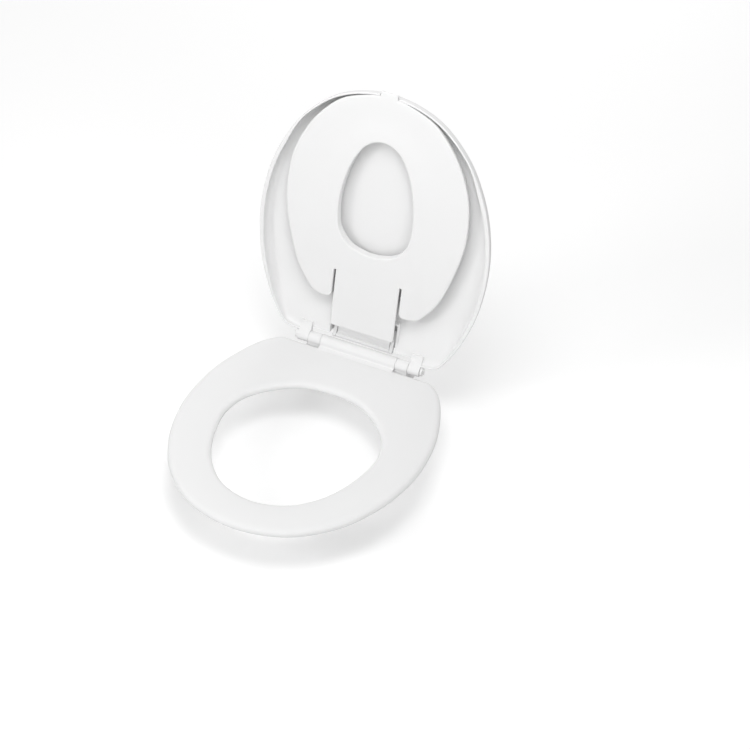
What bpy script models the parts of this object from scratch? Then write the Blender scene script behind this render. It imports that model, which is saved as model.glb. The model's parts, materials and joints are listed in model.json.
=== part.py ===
"""Family toilet seat with a child ring stored in its lid, as separate named pieces.

Metres, +Z up. X runs along the hinge line, the seat's front points to -Y. The origin lies
midway between the two mounting bolts, on the bowl's rim. The seat is down, the lid is open
with the child ring stored in it.
"""

import math

import bmesh
import bpy
import numpy as np
from mathutils import Matrix, Vector

for old in list(bpy.data.objects):
    bpy.data.objects.remove(old, do_unlink=True)

# sizes, in metres
AXIS_Z = 0.022          # hinge axis above the bowl's rim
AXIS_AHEAD = 0.014      # hinge axis ahead of the bolts
LID_OPEN = 94.5         # degrees
FIT_GAP = 0.0003        # between pieces that touch
MERGE_WITHIN = 0.00005  # points this close are one point

# posts on the two bolts, which set the widths along the hinge line
BOLT_HALF_SPACING = 0.070
POST_HALF = 0.0097

# seat ring, measured from the hinge axis: forward, and up
RING_LENGTH = 0.424
RING_HALF_WIDTH = 0.1806
RING_LOW = -0.014
RING_CROWN = -0.0035
RING_WALL = 0.005
RING_SKIN = 0.0042
RING_REAR_WALL = 0.013
RING_CENTRE = 0.215
RING_FRONT_BAND = 0.0572
RING_SIDE_BAND = 0.0645
HOLE_LENGTH = RING_LENGTH - RING_FRONT_BAND
HOLE_HALF_WIDTH = RING_HALF_WIDTH - RING_SIDE_BAND

BAR_RADIUS = 0.0095
BAR_HALF = BOLT_HALF_SPACING - POST_HALF - FIT_GAP
BAR_FILLET = 0.0018
WEB_LOW = -0.0078
WEB_RELIEF = 0.0156
RIB_HALF = 0.0015
RIB_TURNS = (20, 50, 80, 110, 140)

# soft bumpers under the seat ring
BUMPER_TURNS = ((35, "front"), (125, "rear"))
BUMPER_RADIUS = 0.0095
BUMPER_PLUG = 0.0035
BOSS_RADIUS = 0.0075

# lid
LID_SETBACK = 0.0036
LID_LENGTH = RING_LENGTH - LID_SETBACK
LID_HALF_WIDTH = RING_HALF_WIDTH - LID_SETBACK
LID_RIM = -0.0015
LID_SHELL = 0.003
LID_RIM_EXTRA = 0.0035  # the rim is this much wider beside the child ring than in front of it
LID_RIM_TURNS = (40, 62, 125, 150)
LID_SIDE_TOP = 0.0185
LID_CROWN = 0.022
LID_REAR_TOP = 0.0105
LID_REAR_CLEARANCE = 0.0043
LID_REAR_EDGE = BAR_RADIUS + LID_REAR_CLEARANCE
LID_SLOPE_END = 0.085
KNUCKLE_RADIUS = 0.009
KNUCKLE_WIDTH = 0.018
KNUCKLE_ARM = 0.022
HUMP_CEILING = 0.0188
HUMP_TOP = HUMP_CEILING + LID_SHELL

# child ring, in the closed lid's frame
NEST_GAP = 0.0009
NEST_SIDE_GAP = 0.0355
CHILD_LENGTH = LID_LENGTH - LID_SHELL - NEST_GAP
CHILD_HALF_WIDTH = LID_HALF_WIDTH - LID_SHELL - NEST_SIDE_GAP
CHILD_FACE = -0.0025
CHILD_TOP = 0.011
CHILD_CENTRE = 0.250
CHILD_FRONT_BAND = 0.0695
CHILD_SIDE_BAND = 0.0815
CHILD_HOLE_LENGTH = CHILD_LENGTH - CHILD_FRONT_BAND
CHILD_HOLE_HALF = CHILD_HALF_WIDTH - CHILD_SIDE_BAND
TAB_HALF = 0.013
TAB_REACH = 0.0085
TAB_END = CHILD_LENGTH + TAB_REACH
TAB_TOP = 0.0012
NOTCH_SIDE_GAP = 0.0015
NOTCH_TOP_GAP = 0.0004
NOTCH_HALF = TAB_HALF + NOTCH_SIDE_GAP
NOTCH_TOP = TAB_TOP + NOTCH_TOP_GAP
TONGUE_HALF = 0.050
TONGUE_END = 0.0335
TONGUE_BACK = 0.0015
TONGUE_CORNER = 0.0045
SLIT_WIDTH = 0.0032
WING_CORNER = 0.008

# child ring's hinge, in the closed lid's frame
PIVOT_AHEAD = 0.0106
PIVOT_UP = 0.01045
BARREL_RADIUS = 0.0032
PIVOT_RADIUS = 0.0016
PIVOT_PROUD = 0.001
LEAF_INSET = 0.003
LEAF_HALF = TONGUE_HALF - LEAF_INSET
LEAF_SHOULDER = 0.0055
LEAF_NECK_HALF = LEAF_HALF - LEAF_SHOULDER
LEAF_NECK_END = 0.052
LEAF_THICK = 0.003
LEAF_TOP_END = 0.118
SLIT_BEYOND_LEAF = 0.009
SLIT_END = LEAF_TOP_END + SLIT_BEYOND_LEAF
ARCH_TURNS = (118, 105, 90, 75, 60, 46)
CLIP_SETBACK = 0.008
CLIP_AHEAD = LEAF_TOP_END - CLIP_SETBACK
CLIP_UP = 0.0052
CLIP_RADIUS = 0.0015
CLIP_BOSS = 0.0032
CLIP_BOSS_LENGTH = 0.010
CLIP_HOLE_DEPTH = 0.0085
CLIP_GRIP = 0.0108
BAR_CLEARANCE = 0.0018
EAR_CLEARANCE = 0.0013
EAR_WIDTH = 0.005
EAR_INNER = LEAF_NECK_HALF + EAR_CLEARANCE
EAR_OUTER = EAR_INNER + EAR_WIDTH
SCREW_FROM_EAR = 0.0208
SCREW_ACROSS = EAR_INNER - SCREW_FROM_EAR
SCREW_AHEAD = 0.034
BRACKET_EDGE = 0.0012
BRACKET_HALF = EAR_OUTER + BRACKET_EDGE
BRACKET_START = 0.0150
BRACKET_END = 0.044
BRACKET_THICK = 0.0022
HUMP_SIDE_ROOM = 0.003
HUMP_FRONT_ROOM = 0.015
HUMP_HALF = BRACKET_HALF + HUMP_SIDE_ROOM + LID_SHELL
HUMP_END = BRACKET_END + HUMP_FRONT_ROOM + LID_SHELL

# magnet, its cap, and the catch plate in the lid
MAGNET_SETBACK = 0.0355
MAGNET_AHEAD = CHILD_LENGTH - MAGNET_SETBACK
MAGNET_RADIUS = 0.007
MAGNET_THICK = 0.003
CAP_THICK = 0.0012
CATCH_THICK = 0.0016
CATCH_GAP = 0.0008
CATCH_LOW = CHILD_TOP + CATCH_GAP

# hinge posts, pins and bolts
POST_HEAD = 0.0092
PIN_RADIUS = 0.0042
PIN_BORE = PIN_RADIUS + FIT_GAP
PIN_HEAD = 0.0066
PIN_HEAD_THICK = 0.0038
PIN_REACH = 0.016
FOOT_HALF = 0.0165
FOOT_BACK = -0.028
FOOT_FRONT = 0.014
FOOT_THICK = 0.005
BOLT_RADIUS = 0.0045
BOLT_HEAD = 0.0075
BOLT_LENGTH = 0.056
RIM_THICKNESS = 0.027
NUT_RADIUS = 0.0105
NUT_HEIGHT = 0.014
WING_SPAN = 0.021

# outlines: (share of the half width, share of the length), from the front to the back
RING_SHARES = (
    (0.0, 1.0), (0.388, 0.961), (0.687, 0.855), (0.87, 0.72), (0.969, 0.58), (1.0, 0.432),
    (0.957, 0.271), (0.826, 0.11), (0.69, 0.034), (0.598, 0.026), (0.443, 0.026), (0.0, 0.026),
)
HOLE_SHARES = (
    (0.0, 1.0), (0.403, 0.964), (0.693, 0.875), (0.866, 0.771), (0.961, 0.667), (1.0, 0.557),
    (0.912, 0.447), (0.686, 0.355), (0.376, 0.286), (0.0, 0.267),
)
LID_SHARES = (
    (0.0, 1.0), (0.392, 0.961), (0.686, 0.856), (0.869, 0.723), (0.969, 0.584), (1.0, 0.435),
    (0.957, 0.275), (0.848, 0.136), (0.723, 0.043), (0.655, 0.024), (0.576, 0.018),
    (0.452, 0.0172), (0.0, 0.0172),
)
CHILD_SHARES = (
    (0.0, 1.0), (0.202, 0.994), (0.523, 0.948), (0.787, 0.847), (0.953, 0.723), (1.0, 0.6),
    (0.967, 0.475), (0.816, 0.305), (0.635, 0.212), (0.534, 0.193), (0.433, 0.19), (0.0, 0.19),
)
CHILD_HOLE_SHARES = (
    (0.0, 1.0), (0.456, 0.967), (0.807, 0.859), (0.988, 0.715), (0.965, 0.591),
    (0.816, 0.533), (0.526, 0.491), (0.0, 0.473),
)
# edge sections: (inset as a share of the edge's width, height as a share of the thickness)
RING_EDGE = 0.0085
RING_EDGE_SHARES = (
    (0.12, 0.0), (0.0, 0.14), (0.0, 0.42), (0.14, 0.66), (0.45, 0.84), (0.9, 0.93),
)
CHILD_EDGE = 0.010
CHILD_EDGE_SHARES = (
    (0.24, 0.0), (0.05, 0.05), (0.0, 0.15), (0.04, 0.38), (0.22, 0.64), (0.52, 0.83), (0.95, 0.95),
)
CHILD_WALL_SHARES = (
    (0.24, 0.0), (0.07, 0.04), (0.0, 0.14), (0.0, 0.5), (0.0, 0.86), (0.08, 0.95), (0.3, 0.985),
)
LID_EDGE = 0.016
LID_EDGE_SHARES = (
    (0.0, 0.0), (0.01, 0.22), (0.06, 0.45), (0.17, 0.66), (0.36, 0.84), (0.64, 0.95), (1.0, 1.0),
)
LID_INSIDE_EDGE = LID_EDGE * 0.9
LID_INSIDE_SHARES = (
    (0.0, 0.0), (0.01, 0.3), (0.055, 0.55), (0.18, 0.76), (0.38, 0.9), (0.66, 0.975), (1.0, 1.0),
)
LID_CROWN_SHARES = (0.80, 0.55, 0.28)

AROUND = 74
CHILD_AROUND = 60
ROUND = 24
SMALL_ROUND = 16
OUTLINE_STEPS = 12
CORNER_STEPS = 4
SHARP_TURN = 35         # degrees

scene = bpy.context.scene
part = bpy.data.collections.new("family_toilet_seat")
cutters = bpy.data.collections.new("cutters")
scene.collection.children.link(part)
scene.collection.children.link(cutters)


# helpers
def material(name, colour, roughness, metallic=0.0):
    made = bpy.data.materials.new(name)
    made.use_nodes = True
    shader = made.node_tree.nodes["Principled BSDF"]
    shader.inputs["Base Color"].default_value = (*colour, 1.0)
    shader.inputs["Roughness"].default_value = roughness
    shader.inputs["Metallic"].default_value = metallic
    return made


SEAT_WHITE = material("seat_white", (0.86, 0.87, 0.87), 0.22)
CHILD_WHITE = material("child_white", (0.88, 0.88, 0.88), 0.24)
HINGE_WHITE = material("hinge_white", (0.84, 0.85, 0.86), 0.30)
BUMPER_GREY = material("bumper_grey", (0.78, 0.79, 0.80), 0.55)
BOLT_WHITE = material("bolt_white", (0.80, 0.81, 0.82), 0.40)
STEEL = material("steel", (0.62, 0.63, 0.65), 0.30, 1.0)
MAGNET = material("magnet_dark", (0.12, 0.12, 0.13), 0.45, 0.3)


def empty(name, location, turn=0.0, parent=None):
    made = bpy.data.objects.new(name, None)
    made.location = location
    made.rotation_euler = (turn, 0.0, 0.0)
    made.parent = parent
    part.objects.link(made)
    return made


ROOT = empty("hinge_frame", (0.0, -AXIS_AHEAD, AXIS_Z))
LID = empty("lid_frame", (0.0, 0.0, 0.0), -math.radians(LID_OPEN), ROOT)
SEAT = empty("seat_frame", (0.0, 0.0, 0.0), 0.0, ROOT)
CHILD = empty("child_frame", (0.0, -PIVOT_AHEAD, PIVOT_UP), 0.0, LID)


def place(name, mesh, frame, look, helper=False):
    """An object whose mesh is given in hinge axis coordinates of its frame."""
    made = bpy.data.objects.new(name, mesh)
    if frame is CHILD:
        mesh.transform(Matrix.Translation((0.0, PIVOT_AHEAD, -PIVOT_UP)))
    made.parent = frame
    if helper:
        cutters.objects.link(made)
        made.hide_render = True
        made.display_type = "WIRE"
    else:
        part.objects.link(made)
        made.data.materials.append(look)
    return made


def finish_mesh(name, work):
    work.normal_update()
    bmesh.ops.recalc_face_normals(work, faces=work.faces)
    if work.calc_volume(signed=True) < 0:
        bmesh.ops.reverse_faces(work, faces=work.faces)
    mesh = bpy.data.meshes.new(name)
    work.to_mesh(mesh)
    work.free()
    mesh.shade_smooth()
    mesh.set_sharp_from_angle(angle=math.radians(SHARP_TURN))
    return mesh


def box_mesh(name, low, high, round_by=0.0, round_steps=2):
    """A block; low and high are (across, ahead, up), ahead being towards the front."""
    work = bmesh.new()
    bmesh.ops.create_cube(work, size=1.0)
    spots = [(low[i] + high[i]) / 2 for i in range(3)]
    spans = [high[i] - low[i] for i in range(3)]
    for point in work.verts:
        point.co = Vector((
            spots[0] + point.co.x * spans[0],
            point.co.y * spans[1] - spots[1],
            spots[2] + point.co.z * spans[2],
        ))
    if round_by:
        bmesh.ops.bevel(work, geom=list(work.edges), offset=round_by, segments=round_steps,
                        profile=0.5, affect="EDGES", clamp_overlap=True)
    return finish_mesh(name, work)


def tube_mesh(name, start, end, radius, ahead=0.0, up=0.0, steps=ROUND, chamfer=0.0):
    """A round bar along X from start to end."""
    work = bmesh.new()
    bmesh.ops.create_cone(work, cap_ends=True, segments=steps, radius1=radius,
                          radius2=radius, depth=abs(end - start))
    if chamfer:
        rims = [
            edge for edge in work.edges
            if abs(edge.verts[0].co.z - edge.verts[1].co.z) < chamfer / 2
        ]
        bmesh.ops.bevel(work, geom=rims, offset=chamfer, segments=2, profile=0.5, affect="EDGES")
    bmesh.ops.rotate(work, verts=work.verts, matrix=Matrix.Rotation(math.pi / 2, 3, "Y"))
    bmesh.ops.translate(work, verts=work.verts, vec=((start + end) / 2, -ahead, up))
    return finish_mesh(name, work)


def post_mesh(name, across, ahead, low, high, radius, steps=ROUND):
    """A round bar standing along Z."""
    work = bmesh.new()
    bmesh.ops.create_cone(work, cap_ends=True, segments=steps, radius1=radius,
                          radius2=radius, depth=high - low)
    bmesh.ops.translate(work, verts=work.verts, vec=(across, -ahead, (low + high) / 2))
    return finish_mesh(name, work)


def prism_mesh(name, outline, start, end):
    """A flat outline of (ahead, up) points, drawn out along X from start to end."""
    curve = bpy.data.curves.new(name + "_outline", "CURVE")
    curve.dimensions = "2D"
    curve.fill_mode = "BOTH"
    curve.extrude = abs(end - start) / 2
    line = curve.splines.new("POLY")
    line.points.add(len(outline) - 1)
    for spot, (ahead, up) in zip(line.points, outline):
        spot.co = (-ahead, up, 0.0, 1.0)
    line.use_cyclic_u = True
    holder = bpy.data.objects.new(name + "_outline", curve)
    cutters.objects.link(holder)
    graph = bpy.context.evaluated_depsgraph_get()
    mesh = bpy.data.meshes.new_from_object(holder.evaluated_get(graph))
    bpy.data.objects.remove(holder, do_unlink=True)
    work = bmesh.new()
    work.from_mesh(mesh)
    bpy.data.meshes.remove(mesh)
    bmesh.ops.remove_doubles(work, verts=work.verts, dist=MERGE_WITHIN / 10)
    # local X is -ahead (world Y), local Y is up (world Z), local Z is across (world X)
    turned = Matrix(((0, 0, 1, (start + end) / 2), (1, 0, 0, 0), (0, 1, 0, 0), (0, 0, 0, 1)))
    work.transform(turned)
    return finish_mesh(name, work)


def plate_mesh(name, outline, low, high, round_by=0.0):
    """A flat outline of (across, ahead) points, drawn out upwards from low to high."""
    work = bmesh.new()
    lower = [work.verts.new((across, -ahead, low)) for across, ahead in outline]
    upper = [work.verts.new((across, -ahead, high)) for across, ahead in outline]
    faces = [work.faces.new(lower), work.faces.new(upper)]
    rims = [edge for face in faces for edge in face.edges]
    for i, spot in enumerate(lower):
        j = (i + 1) % len(lower)
        work.faces.new((spot, lower[j], upper[j], upper[i]))
    if round_by:
        bmesh.ops.recalc_face_normals(work, faces=work.faces)
        bmesh.ops.bevel(work, geom=rims, offset=round_by, segments=2, profile=0.5, affect="EDGES")
    bmesh.ops.triangulate(work, faces=[face for face in work.faces if len(face.verts) > 4])
    return finish_mesh(name, work)


def corner(across, ahead, radius, start, end):
    """Points of an arc in the plane of a plate, from one angle in degrees to another."""
    turns = [math.radians(start + (end - start) * k / CORNER_STEPS) for k in range(CORNER_STEPS + 1)]
    return [(across + radius * math.cos(turn), ahead + radius * math.sin(turn)) for turn in turns]


def lathe(name, profile, across, ahead, frame, look, steps=ROUND):
    """A turned piece: (radius, height) points revolved round an upright line."""
    work = bmesh.new()
    spots = [work.verts.new((radius, 0.0, height)) for radius, height in profile]
    for first, second in zip(spots, spots[1:]):
        work.edges.new((first, second))
    mesh = bpy.data.meshes.new(name)
    work.to_mesh(mesh)
    work.free()
    made = bpy.data.objects.new(name, mesh)
    made.parent = frame
    made.location = (across, -ahead, 0.0)
    turn = made.modifiers.new("turned", "SCREW")
    turn.axis = "Z"
    turn.steps = steps
    turn.render_steps = steps
    turn.use_merge_vertices = True
    turn.merge_threshold = MERGE_WITHIN
    turn.use_smooth_shade = True
    part.objects.link(made)
    made.data.materials.append(look)
    return made


def change(body, tool, how):
    step = body.modifiers.new(tool.name, "BOOLEAN")
    step.operation = how
    step.solver = "EXACT"
    step.object = tool
    return step


def cut(body, mesh, frame):
    change(body, place(mesh.name, mesh, frame, None, True), "DIFFERENCE")


def join(body, mesh, frame):
    change(body, place(mesh.name, mesh, frame, None, True), "UNION")


def half_outline(shares, half_width, length):
    """Smooth points along half an outline given as shares, from the front to the back."""
    given = np.array([(a * half_width, b * length) for a, b in shares])
    mirrored = given * (-1.0, 1.0)
    padded = np.vstack([mirrored[1], given, mirrored[-2]])
    spots = []
    for i in range(1, len(padded) - 2):
        a, b, c, d = padded[i - 1 : i + 3]
        for k in range(OUTLINE_STEPS):
            t = k / OUTLINE_STEPS
            spots.append(0.5 * (2 * b + (c - a) * t + (2 * a - 5 * b + 4 * c - d) * t**2
                                + (3 * b - a - 3 * c + d) * t**3))
    spots.append(given[-1])
    return np.array(spots)


def radii(shares, half_width, length, centre, angles):
    """Distance from the centre to the outline, at each angle from the front."""
    spots = half_outline(shares, half_width, length)
    turn = np.arctan2(np.maximum(spots[:, 0], 0.0), spots[:, 1] - centre)
    reach = np.hypot(spots[:, 0], spots[:, 1] - centre)
    order = np.argsort(turn)
    return np.interp(np.abs(angles), turn[order], reach[order])


def loop_points(reach, angles, centre, heights):
    across = reach * np.sin(angles)
    ahead = centre + reach * np.cos(angles)
    return np.stack([across, -ahead, np.broadcast_to(heights, across.shape)], axis=1)


def loft(name, loops, closed):
    """Skin from loop to loop; closed joins the last to the first, else both ends are capped."""
    work = bmesh.new()
    rings = [[work.verts.new(spot) for spot in loop] for loop in loops]
    pairs = list(zip(rings, rings[1:]))
    if closed:
        pairs.append((rings[-1], rings[0]))
    for lower, upper in pairs:
        for i in range(len(lower)):
            j = (i + 1) % len(lower)
            work.faces.new((lower[i], lower[j], upper[j], upper[i]))
    if not closed:
        for ring in (rings[0], rings[-1]):
            middle = work.verts.new(sum((v.co for v in ring), Vector()) / len(ring))
            for i in range(len(ring)):
                work.faces.new((ring[i], ring[(i + 1) % len(ring)], middle))
    return finish_mesh(name, work)


def even_angles(count):
    return np.linspace(-math.pi, math.pi, count, endpoint=False)


# seat ring
def seat_ring():
    angles = even_angles(AROUND)
    outer = radii(RING_SHARES, RING_HALF_WIDTH, RING_LENGTH, RING_CENTRE, angles)
    inner = radii(HOLE_SHARES, HOLE_HALF_WIDTH, HOLE_LENGTH, RING_CENTRE, angles)
    height = RING_CROWN - RING_LOW
    back = np.clip(-np.cos(angles), 0.0, 1.0) ** 4
    wall = RING_WALL + (RING_REAR_WALL - RING_WALL) * back
    loops = []
    for inset, up in RING_EDGE_SHARES:
        loops.append(loop_points(outer - inset * RING_EDGE, angles, RING_CENTRE,
                                 RING_LOW + up * height))
    loops.append(loop_points((outer + inner) / 2, angles, RING_CENTRE, RING_CROWN))
    for inset, up in reversed(RING_EDGE_SHARES):
        loops.append(loop_points(inner + inset * RING_EDGE, angles, RING_CENTRE,
                                 RING_LOW + up * height))
    roof = RING_CROWN - RING_SKIN
    shoulder = RING_WALL / 4
    loops.append(loop_points(inner + RING_WALL, angles, RING_CENTRE, RING_LOW))
    loops.append(loop_points(inner + RING_WALL + shoulder, angles, RING_CENTRE, roof - shoulder))
    loops.append(loop_points(inner + RING_WALL + 2 * shoulder, angles, RING_CENTRE, roof))
    loops.append(loop_points(outer - wall - 2 * shoulder, angles, RING_CENTRE, roof))
    loops.append(loop_points(outer - wall - shoulder, angles, RING_CENTRE, roof - shoulder))
    loops.append(loop_points(outer - wall, angles, RING_CENTRE, RING_LOW))
    ring = place("seat_ring", loft("seat_ring", loops, True), SEAT, SEAT_WHITE)

    # hinge bar between the posts, and the web that carries it
    join(ring, tube_mesh("bar_core", -BAR_HALF, BAR_HALF, BAR_RADIUS), SEAT)
    rear = RING_SHARES[-1][1] * RING_LENGTH
    web = [
        (0.0, WEB_LOW + RING_SKIN / 4), (WEB_RELIEF + RING_SKIN, WEB_LOW),
        (rear + RING_REAR_WALL * 0.8, RING_CROWN - RING_SKIN / 3),
        (rear + RING_REAR_WALL * 0.6, RING_CROWN - RING_SKIN / 12),
        (BAR_RADIUS + BAR_FILLET, RING_CROWN - RING_SKIN / 24),
        (BAR_RADIUS + BAR_FILLET * 0.4, RING_CROWN + BAR_FILLET * 0.35),
        (BAR_RADIUS + BAR_FILLET * 0.05, RING_CROWN + BAR_FILLET * 1.2),
        (BAR_RADIUS * 0.9, 0.0), (0.0, 0.0),
    ]
    join(ring, prism_mesh("bar_web", web, -BAR_HALF + FIT_GAP, BAR_HALF - FIT_GAP), SEAT)
    relief_half = BAR_HALF + 2 * FIT_GAP
    cut(ring, box_mesh("web_relief", (-relief_half, BAR_RADIUS * 0.3, 2 * RING_LOW),
                       (relief_half, WEB_RELIEF, WEB_LOW)), SEAT)
    # ribs across the channel underneath
    for turn in RIB_TURNS:
        for side in (-1, 1):
            angle = math.radians(turn) * side
            reach_out = float(np.interp(angle, angles, outer)) - RING_WALL / 2
            reach_in = float(np.interp(angle, angles, inner)) + RING_WALL / 2
            rib = box_mesh(f"rib_{turn}_{'left' if side < 0 else 'right'}",
                           (-RIB_HALF, reach_in, RING_LOW + RING_WALL / 3),
                           (RIB_HALF, reach_out, roof + RING_SKIN / 2))
            rib.transform(Matrix.Rotation(-angle, 4, "Z"))
            rib.transform(Matrix.Translation((0.0, -RING_CENTRE, 0.0)))
            join(ring, rib, SEAT)
    for side in (-1, 1):
        start = side * (BAR_HALF - PIN_REACH - FIT_GAP)
        cut(ring, tube_mesh(f"bar_bore_{side}", start, side * (BAR_HALF + PIN_REACH), PIN_BORE,
                            steps=SMALL_ROUND), SEAT)
    return ring, outer, inner, angles, roof


ring, outer, inner, angles, roof = seat_ring()

# seat bumpers: a plug held in a boss under the ring, a soft foot on the bowl
for turn, where in BUMPER_TURNS:
    for side, hand in ((-1, "left"), (1, "right")):
        angle = math.radians(turn) * side
        middle = float(np.interp(angle, angles, (outer + inner) / 2))
        across = middle * math.sin(angle)
        ahead = RING_CENTRE + middle * math.cos(angle)
        join(ring, post_mesh(f"boss_{where}_{hand}", across, ahead, RING_LOW, roof + RING_SKIN / 2,
                             BOSS_RADIUS, SMALL_ROUND), SEAT)
        cut(ring, post_mesh(f"boss_bore_{where}_{hand}", across, ahead, 2 * RING_LOW,
                            roof - RING_SKIN / 4, BUMPER_PLUG + FIT_GAP, SMALL_ROUND), SEAT)
        foot = -AXIS_Z
        step = RING_LOW - FIT_GAP
        edge = BUMPER_RADIUS * 0.15
        plug_top = roof - RING_SKIN / 2
        profile = [
            (0.0, plug_top), (BUMPER_PLUG - edge / 2, plug_top), (BUMPER_PLUG, plug_top - edge),
            (BUMPER_PLUG, step), (BUMPER_RADIUS - edge, step), (BUMPER_RADIUS, step - edge),
            (BUMPER_RADIUS * 0.9, foot + edge), (BUMPER_RADIUS * 0.9 - edge, foot), (0.0, foot),
        ]
        lathe(f"seat_bumper_{where}_{hand}", profile, across, ahead, SEAT, BUMPER_GREY, SMALL_ROUND)


# lid
def lid_cover():
    angles = even_angles(AROUND)
    edge = radii(LID_SHARES, LID_HALF_WIDTH, LID_LENGTH, RING_CENTRE, angles)

    def top_at(reach, full):
        """The lid is lower near the hinge than over the rest."""
        ahead = RING_CENTRE + reach * np.cos(angles)
        rear = LID_REAR_EDGE * 0.8
        share = np.clip((ahead - rear) / (LID_SLOPE_END - rear), 0.0, 1.0)
        share = share * share * (3 - 2 * share)
        low = full - (LID_SIDE_TOP - LID_REAR_TOP)
        return low + (full - low) * share

    loops = []
    inside = []
    for inset, up in LID_EDGE_SHARES:
        reach = edge - inset * LID_EDGE
        loops.append(loop_points(reach, angles, RING_CENTRE,
                                 LID_RIM + up * (top_at(reach, LID_SIDE_TOP) - LID_RIM)))
    wider = np.interp(np.degrees(np.abs(angles)), LID_RIM_TURNS, (0.0, LID_RIM_EXTRA, LID_RIM_EXTRA, 0.0))
    for inset, up in LID_INSIDE_SHARES:
        reach = edge - LID_SHELL - wider * (1 - inset) - inset * LID_INSIDE_EDGE
        inside.append(loop_points(reach, angles, RING_CENTRE,
                                  LID_RIM + up * (top_at(reach, LID_SIDE_TOP - LID_SHELL) - LID_RIM)))
    for share in LID_CROWN_SHARES:
        reach = (edge - LID_EDGE) * share
        up = LID_SIDE_TOP + (LID_CROWN - LID_SIDE_TOP) * (1 - share**2)
        loops.append(loop_points(reach, angles, RING_CENTRE, top_at(reach, up)))
        inside.append(loop_points(reach, angles, RING_CENTRE, top_at(reach, up - LID_SHELL)))
    mesh = loft("lid_cover", list(reversed(loops)) + inside, False)
    lid = place("lid_cover", mesh, LID, SEAT_WHITE)

    # raised housing over the child ring's hinge, then its hollow
    join(lid, box_mesh("hump", (-HUMP_HALF, LID_REAR_EDGE * 0.72, HUMP_CEILING - 4 * LID_SHELL),
                       (HUMP_HALF, HUMP_END, HUMP_TOP), LID_SHELL * 0.9), LID)
    inner_face = BOLT_HALF_SPACING + POST_HALF + FIT_GAP
    outer_face = inner_face + KNUCKLE_WIDTH
    gap_half = inner_face + 2 * FIT_GAP
    cut(lid, box_mesh("hinge_gap", (-gap_half, -2 * KNUCKLE_RADIUS, -3 * KNUCKLE_RADIUS),
                      (gap_half, LID_REAR_EDGE, 4 * KNUCKLE_RADIUS)), LID)
    hollow = HUMP_HALF - LID_SHELL
    cut(lid, box_mesh("hump_hollow", (-hollow, -KNUCKLE_RADIUS, -2 * KNUCKLE_RADIUS),
                      (hollow, HUMP_END - LID_SHELL, HUMP_CEILING)), LID)
    # knuckles on the hinge axis, with the arms that carry them
    arm = []
    for k in range(9):
        turn = math.radians(100 + 210 * k / 8)
        arm.append((KNUCKLE_RADIUS * math.cos(turn), KNUCKLE_RADIUS * math.sin(turn)))
    arm += [(KNUCKLE_RADIUS * 0.87, -KNUCKLE_RADIUS * 0.5), (KNUCKLE_RADIUS * 1.1, -KNUCKLE_RADIUS * 0.1),
            (KNUCKLE_RADIUS * 1.4, KNUCKLE_RADIUS * 0.25), (KNUCKLE_ARM, KNUCKLE_RADIUS * 0.45),
            (KNUCKLE_ARM, KNUCKLE_RADIUS), (KNUCKLE_RADIUS, KNUCKLE_RADIUS * 1.02)]
    for side in (-1, 1):
        ends = sorted((side * inner_face, side * outer_face))
        join(lid, prism_mesh(f"knuckle_{side}", arm, ends[0], ends[1]), LID)
    join(lid, post_mesh("catch_boss", 0.0, MAGNET_AHEAD, CATCH_LOW, LID_SIDE_TOP - LID_SHELL / 2,
                        MAGNET_RADIUS * 1.35), LID)
    cut(lid, post_mesh("catch_pocket", 0.0, MAGNET_AHEAD, CHILD_TOP, CATCH_LOW + CATCH_THICK,
                       MAGNET_RADIUS + FIT_GAP), LID)
    cut(lid, box_mesh("tab_notch", (-NOTCH_HALF, LID_LENGTH - 4 * LID_SHELL, -4 * LID_SHELL),
                      (NOTCH_HALF, LID_LENGTH + 4 * LID_SHELL, NOTCH_TOP)), LID)
    for side in (-1, 1):
        cut(lid, tube_mesh(f"knuckle_bore_{side}", side * (inner_face - KNUCKLE_WIDTH / 2),
                           side * (outer_face + KNUCKLE_WIDTH / 2), PIN_BORE, steps=SMALL_ROUND), LID)
        cut(lid, post_mesh(f"screw_bore_{side}", side * SCREW_ACROSS, SCREW_AHEAD,
                           HUMP_CEILING - LID_SHELL, HUMP_TOP - LID_SHELL * 0.25,
                           PIVOT_RADIUS, SMALL_ROUND), LID)
    return lid, outer_face


lid, knuckle_outer = lid_cover()


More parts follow.
